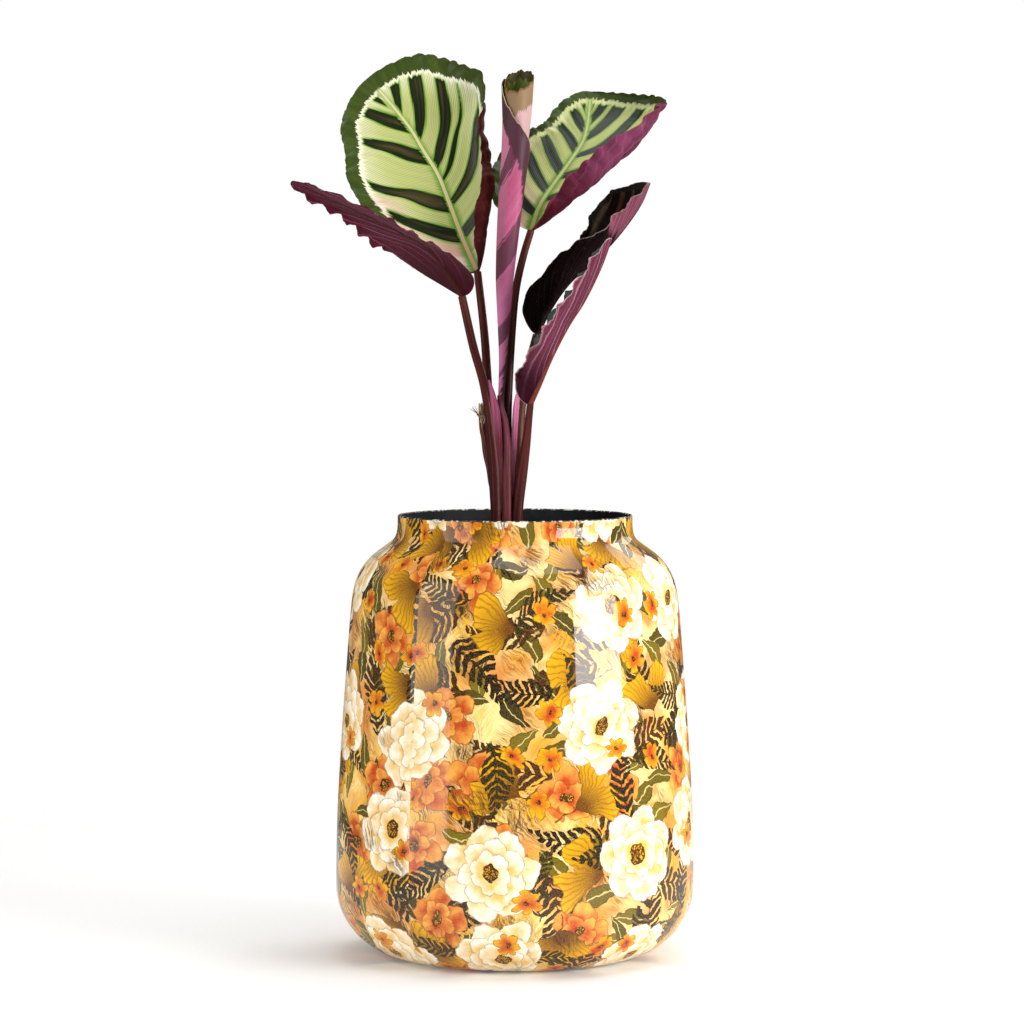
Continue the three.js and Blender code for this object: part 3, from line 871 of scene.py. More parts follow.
@dataclass(frozen=True)
class PrintedLacquer:
    """Offset print on sheet metal under clear stoving lacquer. The ink layer is matt with a
    watercolour unevenness, and the lacquer over it gives hard, bright reflections that a
    slight waviness of the spun sheet breaks up. The lacquer thins towards the foot."""

    name: str = "printed_lacquer"
    wash: tuple[str, str, str] = ("#f8de96", "#dc9046", "#5c3410")
    cream: tuple[str, str, str] = ("#fffbea", "#e8b95c", "#6a3a12")
    gold: tuple[str, str] = ("#f2b00c", "#6a3c04")
    coral: tuple[str, str, str] = ("#f2aa48", "#ba3e0e", "#4a0f06")
    olive: tuple[str, str] = ("#7c6a14", "#30280a")
    brown: tuple[str, str] = ("#180a05", "#4a220c")

    def fronds(self, g: PrintGraph, how: Scatter, length: float, width: float, pitch: float,
               light: str) -> None:
        """Prints fern fronds: a bowed stalk with leaflets on both sides.

        Args:
            g: The graph.
            how: Their spacing.
            length: Length of a frond.
            width: Half its width near the base.
            pitch: Half the distance from leaflet to leaflet.
            light: The lighter of their two colours.
        """
        x, off, held, tint = g.spine(how, length, 0.55)
        run = g.add("MapRange", x, -length / 2, length / 2)
        swell = g.add("SINE", g.add("MULTIPLY", run, math.pi))
        limit = g.add("MULTIPLY", swell, g.add("MapRange", run, 0.0, 1.0, width, 0.45 * width))
        comb = g.add("PINGPONG", g.add("MULTIPLY_ADD", off, -0.75, x), pitch)
        leaflet = g.add("MINIMUM", g.add("SUBTRACT", limit, off),
                        g.add("SUBTRACT", comb, 0.32 * pitch))
        tip = g.add("SUBTRACT", length / 2, g.add("ABSOLUTE", x))
        stalk = g.add("MINIMUM", g.add("SUBTRACT", 0.4, off), tip)
        g.ink(g.add("MixRGB", tint, self.brown[0], light), g.add("MAXIMUM", leaflet, stalk), held,
              self.brown[0], 0.4)

    def blades(self, g: PrintGraph, how: Scatter, length: float, width: float) -> None:
        """Prints slender single leaves with a pale midrib and side veins.

        Args:
            g: The graph.
            how: Their spacing.
            length: Length of a leaf.
            width: Half its width.
        """
        x, off, held, tint = g.spine(how, length, -0.4)
        swell = g.add("SINE", g.add("MapRange", x, -length / 2, length / 2, 0.0, math.pi))
        inside = g.add("SUBTRACT", g.add("MULTIPLY_ADD", swell, width, -0.15), off)
        comb = g.add("PINGPONG", g.add("MULTIPLY_ADD", off, -1.1, x), 1.5)
        over = g.add("MixRGB", g.add("MapRange", comb, 0.25, 0.0, 0.0, 0.55),
                     g.add("MixRGB", tint, *self.olive), self.olive[1])
        over = g.add("MixRGB", g.add("MapRange", off, 0.4, 0.15, 0.0, 0.7), over, self.wash[0])
        g.ink(over, inside, held, self.olive[1], 0.8)

    def fans(self, g: PrintGraph, how: Scatter, radius: float) -> None:
        """Prints fan-shaped leaves with a split, radial ribs and a stalk.

        Args:
            g: The graph.
            how: Their spacing.
            radius: Reach of a leaf from its base.
        """
        local, held, tint = g.cells(how)
        base = g.add("VectorMath", local, (0.5 * radius, 0.0, 0.0), operation="ADD")
        reach, angle = g.polar(base)
        wide = g.add("ABSOLUTE", angle)
        wave = g.add("SINE", g.add("MULTIPLY_ADD", angle, 9.0, tint))
        limit = g.add("SUBTRACT", g.add("MULTIPLY_ADD", wave, 0.05, 0.95),
                      g.add("MapRange", wide, 0.0, 0.16, 0.35, 0.0))
        depth = g.add("SUBTRACT", g.add("MULTIPLY", limit, radius), reach)
        flank = g.add("MULTIPLY", g.add("SUBTRACT", 0.98, wide), reach)
        x, y, _ = g.add("SeparateXYZ", base).node.outputs
        ends = g.add("MINIMUM", g.add("ADD", x, 0.5 * radius), g.add("SUBTRACT", 1.0, x))
        stalk = g.add("MINIMUM", g.add("SUBTRACT", 0.42, g.add("ABSOLUTE", y)), ends)
        inside = g.add("MAXIMUM", g.add("MINIMUM", depth, flank), stalk)
        rib = g.add("MapRange", g.add("SINE", g.add("MULTIPLY", angle, 44.0)), 0.2, 1.0, 0.0, 0.5)
        over = g.add("MixRGB", g.add("MapRange", reach, 0.2 * radius, radius, 1.0, 0.0), *self.gold)
        g.ink(g.add("MixRGB", rib, over, self.gold[1]), inside, held, self.brown[1], 0.8)

    def blossoms(self, g: PrintGraph, how: Scatter, radius: float, count: int,
                 rings: tuple[float, ...], inks: tuple[str, str, str], notch: float) -> None:
        """Prints flowers of one or more rings of petals round a dotted heart.

        Args:
            g: The graph.
            how: Their spacing.
            radius: Reach of the petals.
            count: Petals in a ring.
            rings: Reach of each ring as a share of the radius.
            inks: Their light and dark colour and that of the outline.
            notch: How deep the gaps between petals go, as a share of the radius.
        """
        local, held, tint = g.cells(how)
        reach, angle = g.polar(local)
        streak = g.add("SINE", g.add("MULTIPLY_ADD", angle, 3.0 * count, tint))
        streak = g.add("MapRange", streak, 0.1, 1.0, 0.0, 0.22)
        for k, share in enumerate(rings):
            tall = radius * share
            swing = g.add("COSINE", g.add("MULTIPLY_ADD", angle, count / 2, 1.57 * k))
            lobe = g.add("POWER", g.add("ABSOLUTE", swing), 0.55)
            inside = g.add("MULTIPLY_ADD", lobe, notch * tall, (1 - notch) * tall)
            inside = g.add("SUBTRACT", inside, reach)
            shade = g.add("MapRange", reach, tall, 0.8 * radius * (*rings, 0.15)[k + 1])
            shade = g.add("MULTIPLY_ADD", g.wet, 2.4, shade, use_clamp=True)
            over = g.add("MixRGB", streak, g.add("MixRGB", shade, inks[0], inks[1]), inks[1])
            g.ink(over, inside, held, inks[2], 0.75)
        dots = g.add("TexVoronoi", named={"Vector": local, "Scale": 1.1}, out="Distance")
        over = g.add("MixRGB", g.add("MapRange", dots, 0.2, 0.5), self.gold[0], self.brown[1])
        g.ink(over, g.add("SUBTRACT", 0.17 * radius, reach), held, self.brown[0], 1.0)

    def make(self) -> bpy.types.Material:
        """Builds the material.

        Returns:
            The material.
        """
        g = PrintGraph(self.name)
        blot = g.add("TexNoise", named={"Vector": g.bent, "Scale": 0.035, "Detail": 4.0})
        g.colour = g.add("MixRGB", g.add("MapRange", blot, 0.4, 0.6), *self.wash[:2])
        g.brushwork(0.7, 0.022, 0.46, self.wash[2])
        g.brushwork(2.2, 0.018, 0.47, self.gold[0])
        g.brushwork(1.4, 0.026, 0.52, self.brown[0])
        self.blades(g, Scatter(21, 0.8, 0.9, (31, 12)), 30, 5)
        self.fronds(g, Scatter(39, 0.9, 0.8, (5, 47)), 54, 13, 2.6, self.brown[1])
        self.blossoms(g, Scatter(37, 0.45, 0.7, (77, 3)), 17, 5, (1.0, 0.6), self.coral, 0.45)
        self.fans(g, Scatter(45, 0.7, 0.6, (13, 91)), 27)
        self.fronds(g, Scatter(50, 0.7, 0.7, (59, 21)), 44, 10, 2.1, self.olive[1])
        self.blossoms(g, Scatter(68, 0.62, 0.6, (40, 66)), 26, 7, (1.0, 0.74, 0.48),
                      self.cream, 0.24)
        self.blossoms(g, Scatter(26, 0.28, 0.8, (8, 33)), 7.5, 6, (1.0,),
                      (self.gold[0], self.coral[1], self.brown[0]), 0.5)
        g.brushwork(1.1, 0.03, 0.57, self.brown[1])
        haze = g.add("TexNoise", named={"Vector": g.place, "Scale": 1.3, "Detail": 3.0})
        g.paint((g.add("MapRange", haze, 0.45, 0.75, 0.0, 0.12), self.wash[0]))
        coat = g.add("MapRange", g.add("SeparateXYZ", g.place, out=1), 10.0, 100.0, 0.15, 0.66)
        sheet = g.add("TexNoise", named={"Vector": g.place, "Scale": 0.022, "Detail": 1.0})
        return g.finish(0.5, sheet, 1.0, IOR=1.5, Specular_IOR_Level=0.03, Coat_Weight=coat,
                        Coat_Roughness=0.04)


@dataclass(frozen=True)
class Mottled:
    """A matt solid whose second colour shows in specks. Scales are grains per metre."""

    name: str
    main: str
    speck: str
    scale: float
    level: tuple[float, float]
    share: float
    rough: tuple[float, float]
    depth: float
    detail: float = 3.0
    distortion: float = 0.0
    specular: float = 0.5
    ior: float = 1.5
    lumps: tuple[str, float] | None = None

    def make(self) -> bpy.types.Material:
        """Builds the material.

        Returns:
            The material.
        """
        g = Graph(self.name)
        place = g.add("TexCoord", out="Object")
        grit = g.add("TexNoise", named={
            "Vector": place, "Scale": self.scale, "Detail": self.detail,
            "Distortion": self.distortion})
        speck = g.add("MapRange", grit, *self.level, 0.0, self.share)
        g.colour = self.main
        lift = grit
        if self.lumps:
            lump = g.add("TexNoise", named={
                "Vector": place, "Scale": self.lumps[1], "Detail": 6.0, "Roughness": 0.7})
            g.colour = g.add("MixRGB", g.add("MapRange", lump, 0.35, 0.65), self.lumps[0],
                             self.main)
            lift = g.add("MULTIPLY_ADD", grit, 0.4, lump)
        g.paint((speck, self.speck))
        rough: Any = self.rough[0]
        if self.rough[0] != self.rough[1]:
            rough = g.add("MapRange", speck, 0.0, self.share, *self.rough)
        return g.finish(rough, lift, self.depth, IOR=self.ior,
                        Specular_IOR_Level=self.specular)


# Matt black stoved primer inside the vase: no gloss, a faint dusty mottling.
PRIMER = Mottled("matt_black_primer", "#15171b", "#2c2d30", 180.0, (0.5, 0.8), 0.6,
                 (0.72, 0.72), 0.2, detail=4.0, specular=0.3)
# The cut edge of the tinned sheet: dark primer, chipped down to shinier pale metal.
CHIPPED_EDGE = Mottled("chipped_edge", "#2a2622", "#cfc6b4", 420.0, (0.53, 0.57), 0.9,
                       (0.6, 0.35), 0.5)
# Peat and composted bark: almost black when moist, lumpy, fibrous and matt.
POTTING_SOIL = Mottled("potting_soil", "#2a1d15", "#5c4430", 1100.0, (0.58, 0.72), 0.7,
                       (0.9, 0.9), 0.9, distortion=1.5, ior=1.4, lumps=("#120c09", 260.0))
# Expanded volcanic glass: chalk white, porous and matt.
PERLITE = Mottled("perlite", "#e4e0d6", "#a59c8e", 1500.0, (0.4, 0.7), 0.8, (0.85, 0.85), 0.6)


# Leaves


class Side(Enum):
    """The halves of a blade, seen from above with the tip away."""

    LEFT = -1
    RIGHT = 1


@dataclass(frozen=True)
class Half:
    """Half a blade: half-widths, the angle at which it leaves the midrib, how far it turns on
    to its margin, in degrees, how near the margin the turn is, and the depth of its lobes."""

    widths: tuple[float, ...]
    fold: tuple[float, ...]
    turn: tuple[float, ...]
    curl: tuple[float, ...] = (2.0, 2.0)
    lobes: float = 0.3


@dataclass(frozen=True)
class Wave:
    """The margin's waves: their height on each half, how many there are, where they start,
    the share of the blade from its base that lies flat, and how pointed their crests are."""

    left: float
    right: float
    count: float
    phase: float
    calm: float = 0.0
    cusp: float = 0.0


@dataclass(frozen=True)
class Stripe:
    """A dark stripe along a lateral vein: its foot as a share of the midrib, its widths from
    the midrib outwards in millimetres, how far from the midrib it starts, and how far it
    bends forward 10 mm out."""

    foot: float
    widths: tuple[float, ...]
    start: float = 1.8
    bend: float = 0.0


def herringbone(first: float, step: float) -> tuple[Stripe, ...]:
    """Six evenly spaced stripes, smaller towards the tip."""
    return tuple(Stripe(first + step * k, tuple(w * (1 - 0.07 * k) for w in (4, 6.5, 6, 4.5)))
                 for k in range(6))


def distance_to_line(points: np.ndarray, line: np.ndarray) -> np.ndarray:
    """Distance from flat points to a broken line.

    Args:
        points: Points, one in a row.
        line: Corners of the line.

    Returns:
        The distance of each point.
    """
    runs = np.diff(line, axis=0)
    squares = np.maximum((runs ** 2).sum(1), 1e-12)
    best = np.full(len(points), np.inf)
    for start, run, square in zip(line, runs, squares):
        share = np.clip(((points - start) @ run) / square, 0, 1)
        gap = points - start - share[:, None] * run
        best = np.minimum(best, (gap ** 2).sum(1))
    return np.sqrt(best)


@dataclass
class Blade:
    """An open leaf blade. Its lateral veins leave the midrib at "vein_slant", which grows
    towards the tip with "vein_gather", and bend forward with "vein_sweep". Its stripes end
    "stripe_gap" before the outline, and "gap_growth" more at the tip."""

    name: str
    node: str
    slot: str
    spine: tuple[Point, ...]
    face: tuple[Point, ...]
    left: Half
    right: Half
    wave: Wave
    left_stripes: tuple[Stripe, ...]
    right_stripes: tuple[Stripe, ...]
    upper: LeafUpperFace
    under: LeafUnderside
    seed: int
    rows: int = 170
    columns: int = 46
    thickness: float = 0.5
    rib_crowding: float = 1.15
    midrib_height: float = 1.5
    midrib_half: float = 1.35
    midrib_thinning: float = 0.7
    ridge_height: float = 0.3
    end_half_width: float = 1.5
    end_rounding: float = 0.12
    wave_rise: float = 4.0
    scallop: float = 0.35
    scallop_pitch: float = 5.3
    lobe_pitch: float = 7.6
    tooth_height: float = 0.2
    vein_slant: float = 0.62
    vein_gather: float = 0.85
    vein_start: float = 0.7
    vein_sweep: float = 0.011
    pleat: float = 0.1
    stripe_gap: float = 8.2
    gap_growth: float = 2.6

    def end_round(self, share: np.ndarray) -> np.ndarray:
        """Quarter-round rise of the half-width at an end of the blade."""
        return np.sqrt(1 - (1 - np.minimum(share / self.end_rounding, 1)) ** 2)

    def outline(self, shape: Half, share: np.ndarray, run: np.ndarray) -> tuple[np.ndarray, ...]:
        """The smooth outline of one half.

        Args:
            shape: The half.
            share: Places along the midrib.
            run: The same in millimetres.

        Returns:
            Half-widths, and distance along the margin.
        """
        ends = self.end_round(share) * self.end_round(1 - share)
        width = self.end_half_width + station(shape.widths, share) * ends
        return width, travelled(np.column_stack([run, width]))

    def row_places(self) -> np.ndarray:
        """Places the rows along the midrib, dense where the outline runs across it.

        Returns:
            Shares of the midrib's length.
        """
        fine = np.linspace(0, 1, 6000)
        run = fine * self.frames(fine)[3]
        measure = 0.8 * run + sum(self.outline(shape, fine, run)[1]
                                  for shape in (self.left, self.right))
        return np.interp(np.linspace(0, 1, self.rows), measure / measure[-1], fine)

    def frames(self, share: np.ndarray) -> tuple[np.ndarray, np.ndarray, np.ndarray, float]:
        """Midrib points and local directions.

        Args:
            share: Places along the midrib, from 0 to 1.

        Returns:
            Points, direction out of the upper face, direction across, and the length.
        """
        point, along, length = along_curve(self.spine, share)
        face = station(self.face, share)
        face = unit(face - (face * along).sum(1, keepdims=True) * along)
        return point, face, np.cross(along, face), length

    def slant(self, foot: np.ndarray, length: float) -> np.ndarray:
        """How far forward a lateral vein runs for each millimetre out, by its foot."""
        return self.vein_slant / np.maximum(1 - foot / length, 0.005) ** self.vein_gather

    def vein_foot(self, run: np.ndarray, out: np.ndarray, length: float) -> np.ndarray:
        """Finds where on the midrib the lateral vein through a flat place starts, by halving.

        Args:
            run: Distance along the midrib in millimetres.
            out: Distance from the midrib.
            length: Length of the midrib.

        Returns:
            Millimetres along the midrib, negative before its start.
        """
        reach = out * (self.vein_start + self.vein_sweep * out)
        low = np.full(np.broadcast(run, out).shape, -1.5 * length)
        high = np.full(low.shape, 0.995 * length)
        for _ in range(30):
            foot = (low + high) / 2
            short = foot + self.slant(foot, length) * reach < run
            low = np.where(short, foot, low)
            high = np.where(short, high, foot)
        return (low + high) / 2

    def half(self, side: Side, share: np.ndarray, ribs: np.ndarray) -> dict[str, np.ndarray]:
        """Lays out one half of the blade.

        Args:
            side: Which half.
            share: Places along the midrib.
            ribs: Places from the midrib, at 0, to the margin, at 1.

        Returns:
            Points and normals of the mid-surface, flat places (run along the midrib, out from
            it, and foot of the vein), the half-widths, and how near the tip each row is.
        """
        shape = self.left if side is Side.LEFT else self.right
        rng = np.random.default_rng(self.seed + 5 + side.value)
        point, face, across, length = self.frames(share)
        run = share * length
        width, arc = self.outline(shape, share, run)
        # Lobes of uneven length and fine teeth, cut in square to the smooth outline.
        lobe = np.pi * arc / self.lobe_pitch + 0.9 * np.sin(arc * 0.11 + rng.uniform(0, 6.3))
        tooth = sum(np.sin(arc * k + rng.uniform(0, 6.3)) for k in (1.45, 2.3)) / 2
        nick = (shape.lobes * (np.abs(np.sin(lobe)) ** 0.8 - 1)
                + self.tooth_height * (tooth - 1))
        nick = nick * smooth(0.04, 0.16, share) * smooth(2.0, 14.0, width)
        slide = -nick * np.gradient(width, arc)
        width = width + nick * np.gradient(run, arc)
        # The cross-section, laid step by step from the midrib at its turning angle.
        fold, turn, curl = (station(values, share)[:, None]
                            for values in (shape.fold, shape.turn, shape.curl))
        fold, turn = np.radians(fold), np.radians(turn)
        step = np.diff(ribs) * width[:, None]
        bend = fold + turn * ((ribs[:-1] + ribs[1:]) / 2) ** curl
        zero = np.zeros((len(share), 1))
        out = np.hstack([zero, np.cumsum(np.cos(bend) * step, axis=1)])
        rise = np.hstack([zero, np.cumsum(np.sin(bend) * step, axis=1)])
        flat = ribs * width[:, None]
        angle = (fold + turn * ribs ** curl) * smooth(0.0, 1.6, flat)
        normal = (-side.value * np.sin(angle)[..., None] * across[:, None]
                  + np.cos(angle)[..., None] * face[:, None])
        # Waves and small scallops of the margin, and pleats between the lateral veins.
        height = self.wave.left if side is Side.LEFT else self.wave.right
        phase = self.wave.phase + (1.3 if side is Side.RIGHT else 0.0)
        swing = 2 * np.pi * self.wave.count * (share[:, None] - 0.15 * ribs) + phase
        fade = np.minimum(1, 14 * share * (1 - share))[:, None]
        fade = fade * smooth(self.wave.calm - 0.12, self.wave.calm + 0.05, share)[:, None]
        crest = (1 - self.wave.cusp) * np.sin(swing) + self.wave.cusp * (
            1 - 2 * np.abs(np.sin(swing / 2 - math.pi / 4)))
        along_margin = run[:, None]
        quick = (2 * np.pi * along_margin / self.scallop_pitch
                 + 2.0 * np.sin(along_margin * 0.21 + phase))
        foot = self.vein_foot(along_margin, flat, length)
        pleats = np.cos(2 * np.pi * foot / CORD_PITCH) * smooth(1.0, 6.0, flat)
        wave = fade * (height * ribs ** self.wave_rise * crest
                       + self.scallop * ribs ** 7 * np.sin(quick) + self.pleat * pleats)
        surface = (point[:, None] + side.value * out[..., None] * across[:, None]
                   + rise[..., None] * face[:, None] + wave[..., None] * normal
                   + (slide[:, None] * ribs ** 9)[..., None]
                   * np.cross(face, across)[:, None])
        return {"point": surface, "normal": normal, "flat": flat, "foot": foot,
                "run": np.broadcast_to(run[:, None], flat.shape), "width": width,
                "tipward": np.clip((share[:, None] - 0.4) / 0.6, 0, 1)}

    def marks(self, lay: dict[str, np.ndarray], stripes: Sequence[Stripe],
              length: float) -> dict[str, np.ndarray]:
        """Measures the blade's markings at each flat place.

        Args:
            lay: One half, from half().
            stripes: Its dark stripes.
            length: Length of the midrib.

        Returns:
            Distance to the outline, to the flanks of the nearest stripe and to its ends, in
            millimetres, positive inside.
        """
        run, flat, foot, width = lay["run"], lay["flat"], lay["foot"], lay["width"]
        outline = np.column_stack([run[:, 0], width])
        outline = np.vstack([[run[0, 0], 0], outline, [run[-1, 0], 0]])
        places = np.column_stack([run.ravel(), flat.ravel()])
        edge = distance_to_line(places, outline).reshape(flat.shape)
        # "lean" turns a distance between vein feet into one square to the veins.
        left = np.maximum(1 - foot / length, 0.05)
        slant = self.slant(length * (1 - left), length)
        reach = flat * (self.vein_start + self.vein_sweep * flat)
        steep = slant * (self.vein_start + 2 * self.vein_sweep * flat)
        lean = 1 + self.vein_gather * slant * reach / (length * left)
        lean = lean / np.sqrt(1 + steep ** 2)
        best_side, best_end, score = (np.full(flat.shape, v) for v in (-20.0, -20.0, -1e3))
        gap = self.stripe_gap + self.gap_growth * lay["tipward"]
        share = flat / np.maximum(width[:, None] - gap, 4)
        for stripe in stripes:
            half = station(stripe.widths, share.ravel()).reshape(share.shape) / 2
            middle = stripe.foot * length + stripe.bend * (flat / 10) ** 2
            side = half - np.abs(foot - middle) * lean
            end = np.minimum((flat - stripe.start) * 1.2, edge - gap)
            value = np.minimum(side, end * 0.5)
            better = value > score
            score, best_side, best_end = (np.where(better, new, old) for new, old in (
                (value, score), (side, best_side), (end, best_end)))
        return {"edge": edge, "stripe_side": best_side, "stripe_end": best_end}

    def build(self) -> bpy.types.Object:
        """Builds the blade and lets it stand for its solid.

        Returns:
            The piece.
        """
        share = self.row_places()
        ribs = np.linspace(0, 1, self.columns + 1) ** self.rib_crowding
        length = self.frames(share)[3]
        left, right = (self.half(side, share, ribs) for side in Side)
        left |= self.marks(left, self.left_stripes, length)
        right |= self.marks(right, self.right_stripes, length)
        left["signed"], right["signed"] = -left["flat"], right["flat"]
        whole = {key: np.concatenate([left[key][:, :0:-1], right[key]], axis=1)
                 for key in ("point", "normal", "flat", "foot", "signed", *MARKS)}
        grid, normal, flat = whole["point"], whole["normal"], whole["flat"]
        # The midrib: a low ridge above, and a round cord below that thins to the tip.
        toward = share[:, None]
        broad = self.midrib_half - self.midrib_thinning * toward
        cord = self.midrib_height * (1 - 0.8 * toward) * np.exp(-(flat / broad) ** 2.4)
        ridge = self.ridge_height * (1 - 0.6 * toward) * np.exp(-(flat / (0.7 * broad)) ** 2)
        fields = {key: whole[key] for key in MARKS}
        fields |= {"across": flat, "along": np.broadcast_to(toward, flat.shape)}
        skin = Skin.sheet(grid + normal * (self.thickness / 2 + ridge)[..., None],
                          grid - normal * (self.thickness / 2 + cord)[..., None],
                          np.column_stack([whole["foot"].ravel(), whole["signed"].ravel()]),
                          fields)
        piece = skin.build(self.name, [self.upper.make(), self.under.make()], self.slot,
                           sharp=60)
        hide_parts(self.node)
        return piece


@dataclass
class RolledLeaf:
    """The new leaf, still wound round itself into a slender trumpet. The tables run from its
    foot to its top: place of its axis, radius, number of turns, and direction of its free
    margin in degrees. A band is the foot of a slanting stripe and half its width, and
    "vein_climb" is the slant of its veins."""

    foot: float = 310.0
    top: float = 486.0
    top_slant: float = 6.0
    high_side: float = 70.0
    depth: float = -3.0
    pitch: float = 1.5
    axis: tuple[float, ...] = (-8, -7, -6.5, -6, -4.4, -2.6, -0.5, 1.2, 1.9)
    radius: tuple[float, ...] = (1.9, 2.6, 4, 5.4, 6.5, 7.3, 8, 8.6, 9.2)
    turns: tuple[float, ...] = (0.8, 1.2, 1.4, 1.45, 1.3)
    margin: tuple[float, ...] = (470, 450, 420, 365, 195)
    bands: tuple[tuple[float, float], ...] = ((156, 2.6), (106, 6.2), (52, 4.4), (25, 1.2))
    vein_climb: float = 1.4
    rows: int = 200
    columns: int = 110
    thickness: float = 0.5

    def build(self) -> bpy.types.Object:
        """Builds the rolled leaf and lets it stand for its solid.

        Returns:
            The piece.
        """
        u = np.linspace(0, 1, self.rows)
        share = u[:, None]
        turns, margin, radius, axis = (station(values, u)[:, None] for values in (
            self.turns, self.margin, self.radius, self.axis))
        wound = turns * np.linspace(0, 1, self.columns)[None, :]
        azimuth = np.radians(margin - 360 * wound)
        # The top slants and is nicked, and the wall is fluted and waved at its free lip.
        nick = 0.5 * np.sin(azimuth * 9 + 1.3) + 0.4 * np.sin(azimuth * 17 + wound * 9)
        slant = self.top_slant * np.cos(azimuth - math.radians(self.high_side)) + nick - 0.9
        tall = self.top - self.foot
        height = self.foot + share * (tall + slant)
        flute = 0.14 * np.sin(azimuth * 5 + share * 9) * smooth(0.1, 0.5, share)
        lip = 0.35 * np.exp(-(wound / 0.025) ** 2) * np.sin(share * 60 + 4 * np.sin(share * 9))
        radius = (radius - self.pitch * wound * np.minimum(1, 0.65 + share)
                  + flute * smooth(0.0, 0.2, wound) + np.abs(lip))
        outward = np.stack([np.cos(azimuth), np.sin(azimuth), np.zeros_like(azimuth)], -1)
        middle = np.stack([np.broadcast_to(axis, azimuth.shape),
                           np.full_like(azimuth, self.depth), height], -1)
        # What the finishes read: distances from the margin and top, bands, turns, and a painted
        # highlight facing left.
        out = np.cumsum(np.diff(wound, axis=1, prepend=0.0) * 2 * np.pi * radius, axis=1)
        top = (1 - share) * tall * np.ones_like(out)
        veins = share * tall + self.vein_climb * out
        nearest = np.full_like(out, -9.0)
        for foot, half in self.bands:
            band = half - np.abs(veins - foot) / math.hypot(1, self.vein_climb)
            nearest = np.maximum(nearest, np.minimum(band, (out - 4) * 0.6))
        fields = {"edge": np.minimum(out, top + 2.0), "top": top, "stripe_side": nearest,
                  "inner": smooth(0.0, 0.04, wound - 0.5 - 0.5 * (1 - share)),
                  "left_light": 0.55 * smooth(0.2, 1.0, -outward[..., 0])}
        skin = Skin.sheet(middle + outward * (radius - self.thickness / 2)[..., None],
                          middle + outward * (radius + self.thickness / 2)[..., None],
                          np.column_stack([veins.ravel(), out.ravel()]), fields)
        finishes = [RolledLeafInside("rolled_leaf_inside").make(),
                    RolledLeafOutside("rolled_leaf_outside").make()]
        piece = skin.build("rolled_blade", finishes, "rolled_leaf", sharp=60)
        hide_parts("leaf_rolled")
        return piece


# Stalks


@dataclass(frozen=True)
class Wing:
    """The thin pink edge of a leaf sheath along a stalk: its direction across, and points on
    its middle line with its half-width at each."""

    across: Point
    line: tuple[tuple[float, float, float, float], ...]
    finish: StemSkin
    thickness: float = 0.5
    rings: int = 60
    around: int = 20

    def skin(self) -> Skin:
        """Makes its closed skin.

        Returns:
            The skin, as part 1 of its stalk.
        """
        wide = unit(np.array(self.across))
        share = np.linspace(0, 1, self.rings)
        line = station(self.line, share)
        path, half = line[:, :3], np.maximum(line[:, 3], 0.3)
        ring = ring_angles(self.around)
        points = (path[:, None] + (half[:, None] * np.cos(ring))[..., None] * wide
                  + (self.thickness * np.sin(ring))[None, :, None] * np.cross(UP, wide))
        return Skin.tube(points, 2.5 * np.cos(ring), path[:, 2], share, 1)


@dataclass
class Petiole:
    """A leaf stalk from its foot in the soil to the blade. It stands in a column and a row of
    the bundle, "pitch" and "offset" apart. It has its sheath's radius between the heights of
    "clasp", where it passes the rim, and thins at both ends of that to its own."""

    name: str
    column: int
    row: int
    top: float
    route: tuple[Point, ...]
    end: Point
    finish: StemSkin
    wing: Wing | None = None
    foot_radius: float = 2.8
    sheath_radius: float = 3.15
    pitch: float = 5.9
    offset: float = 3.0
    first: float = -10.5
    levels: tuple[float, ...] = (200.0, 220.0, 245.0)
    clasp: tuple[float, ...] = (224.0, 240.0, 262.0, 302.0)
    rings: int = 120
    around: int = 26

    def build(self) -> bpy.types.Object:
        """Builds the stalk and its wing and lets them stand for their solid.

        Returns:
            The piece.
        """
        x, y = self.first + self.column * self.pitch, self.row * self.offset
        line = (*((x, y, z) for z in self.levels), *self.route, self.end)
        share = np.linspace(0, 1, self.rings)
        centre, along, length = along_curve(line, share)
        along[0] = UP
        radius = self.top + (self.foot_radius - self.top) * (1 - share) ** 0.8
        low, full, last, high = self.clasp
        sheath = smooth(high, last, centre[:, 2]) * smooth(low, full, centre[:, 2])
        radius += (self.sheath_radius - radius) * sheath
        ring, seed = ring_angles(self.around), 3 * self.column + self.row
        ribs = 0.03 * np.cos(9 * ring + seed) + 0.02 * np.cos(5 * ring + 2 * seed)
        radius = radius[:, None] * (0.95 + ribs)
        turn = 2 * np.pi * np.arange(self.around) / self.around
        # Each stalk reads another part of the pattern.
        skin = Skin.tube(ring_points(centre, along, radius, radius, self.around),
                         2.6 * turn + 40 * self.column + 17 * self.row, share * length, share)
        finishes = [self.finish.make()]
        if self.wing is not None:
            skin.join(self.wing.skin())
            finishes.append(self.wing.finish.make())
        piece = skin.build(f"stalk_{self.name}", finishes, "petiole", sharp=60)
        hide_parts(f"petiole_{self.name}")
        return piece


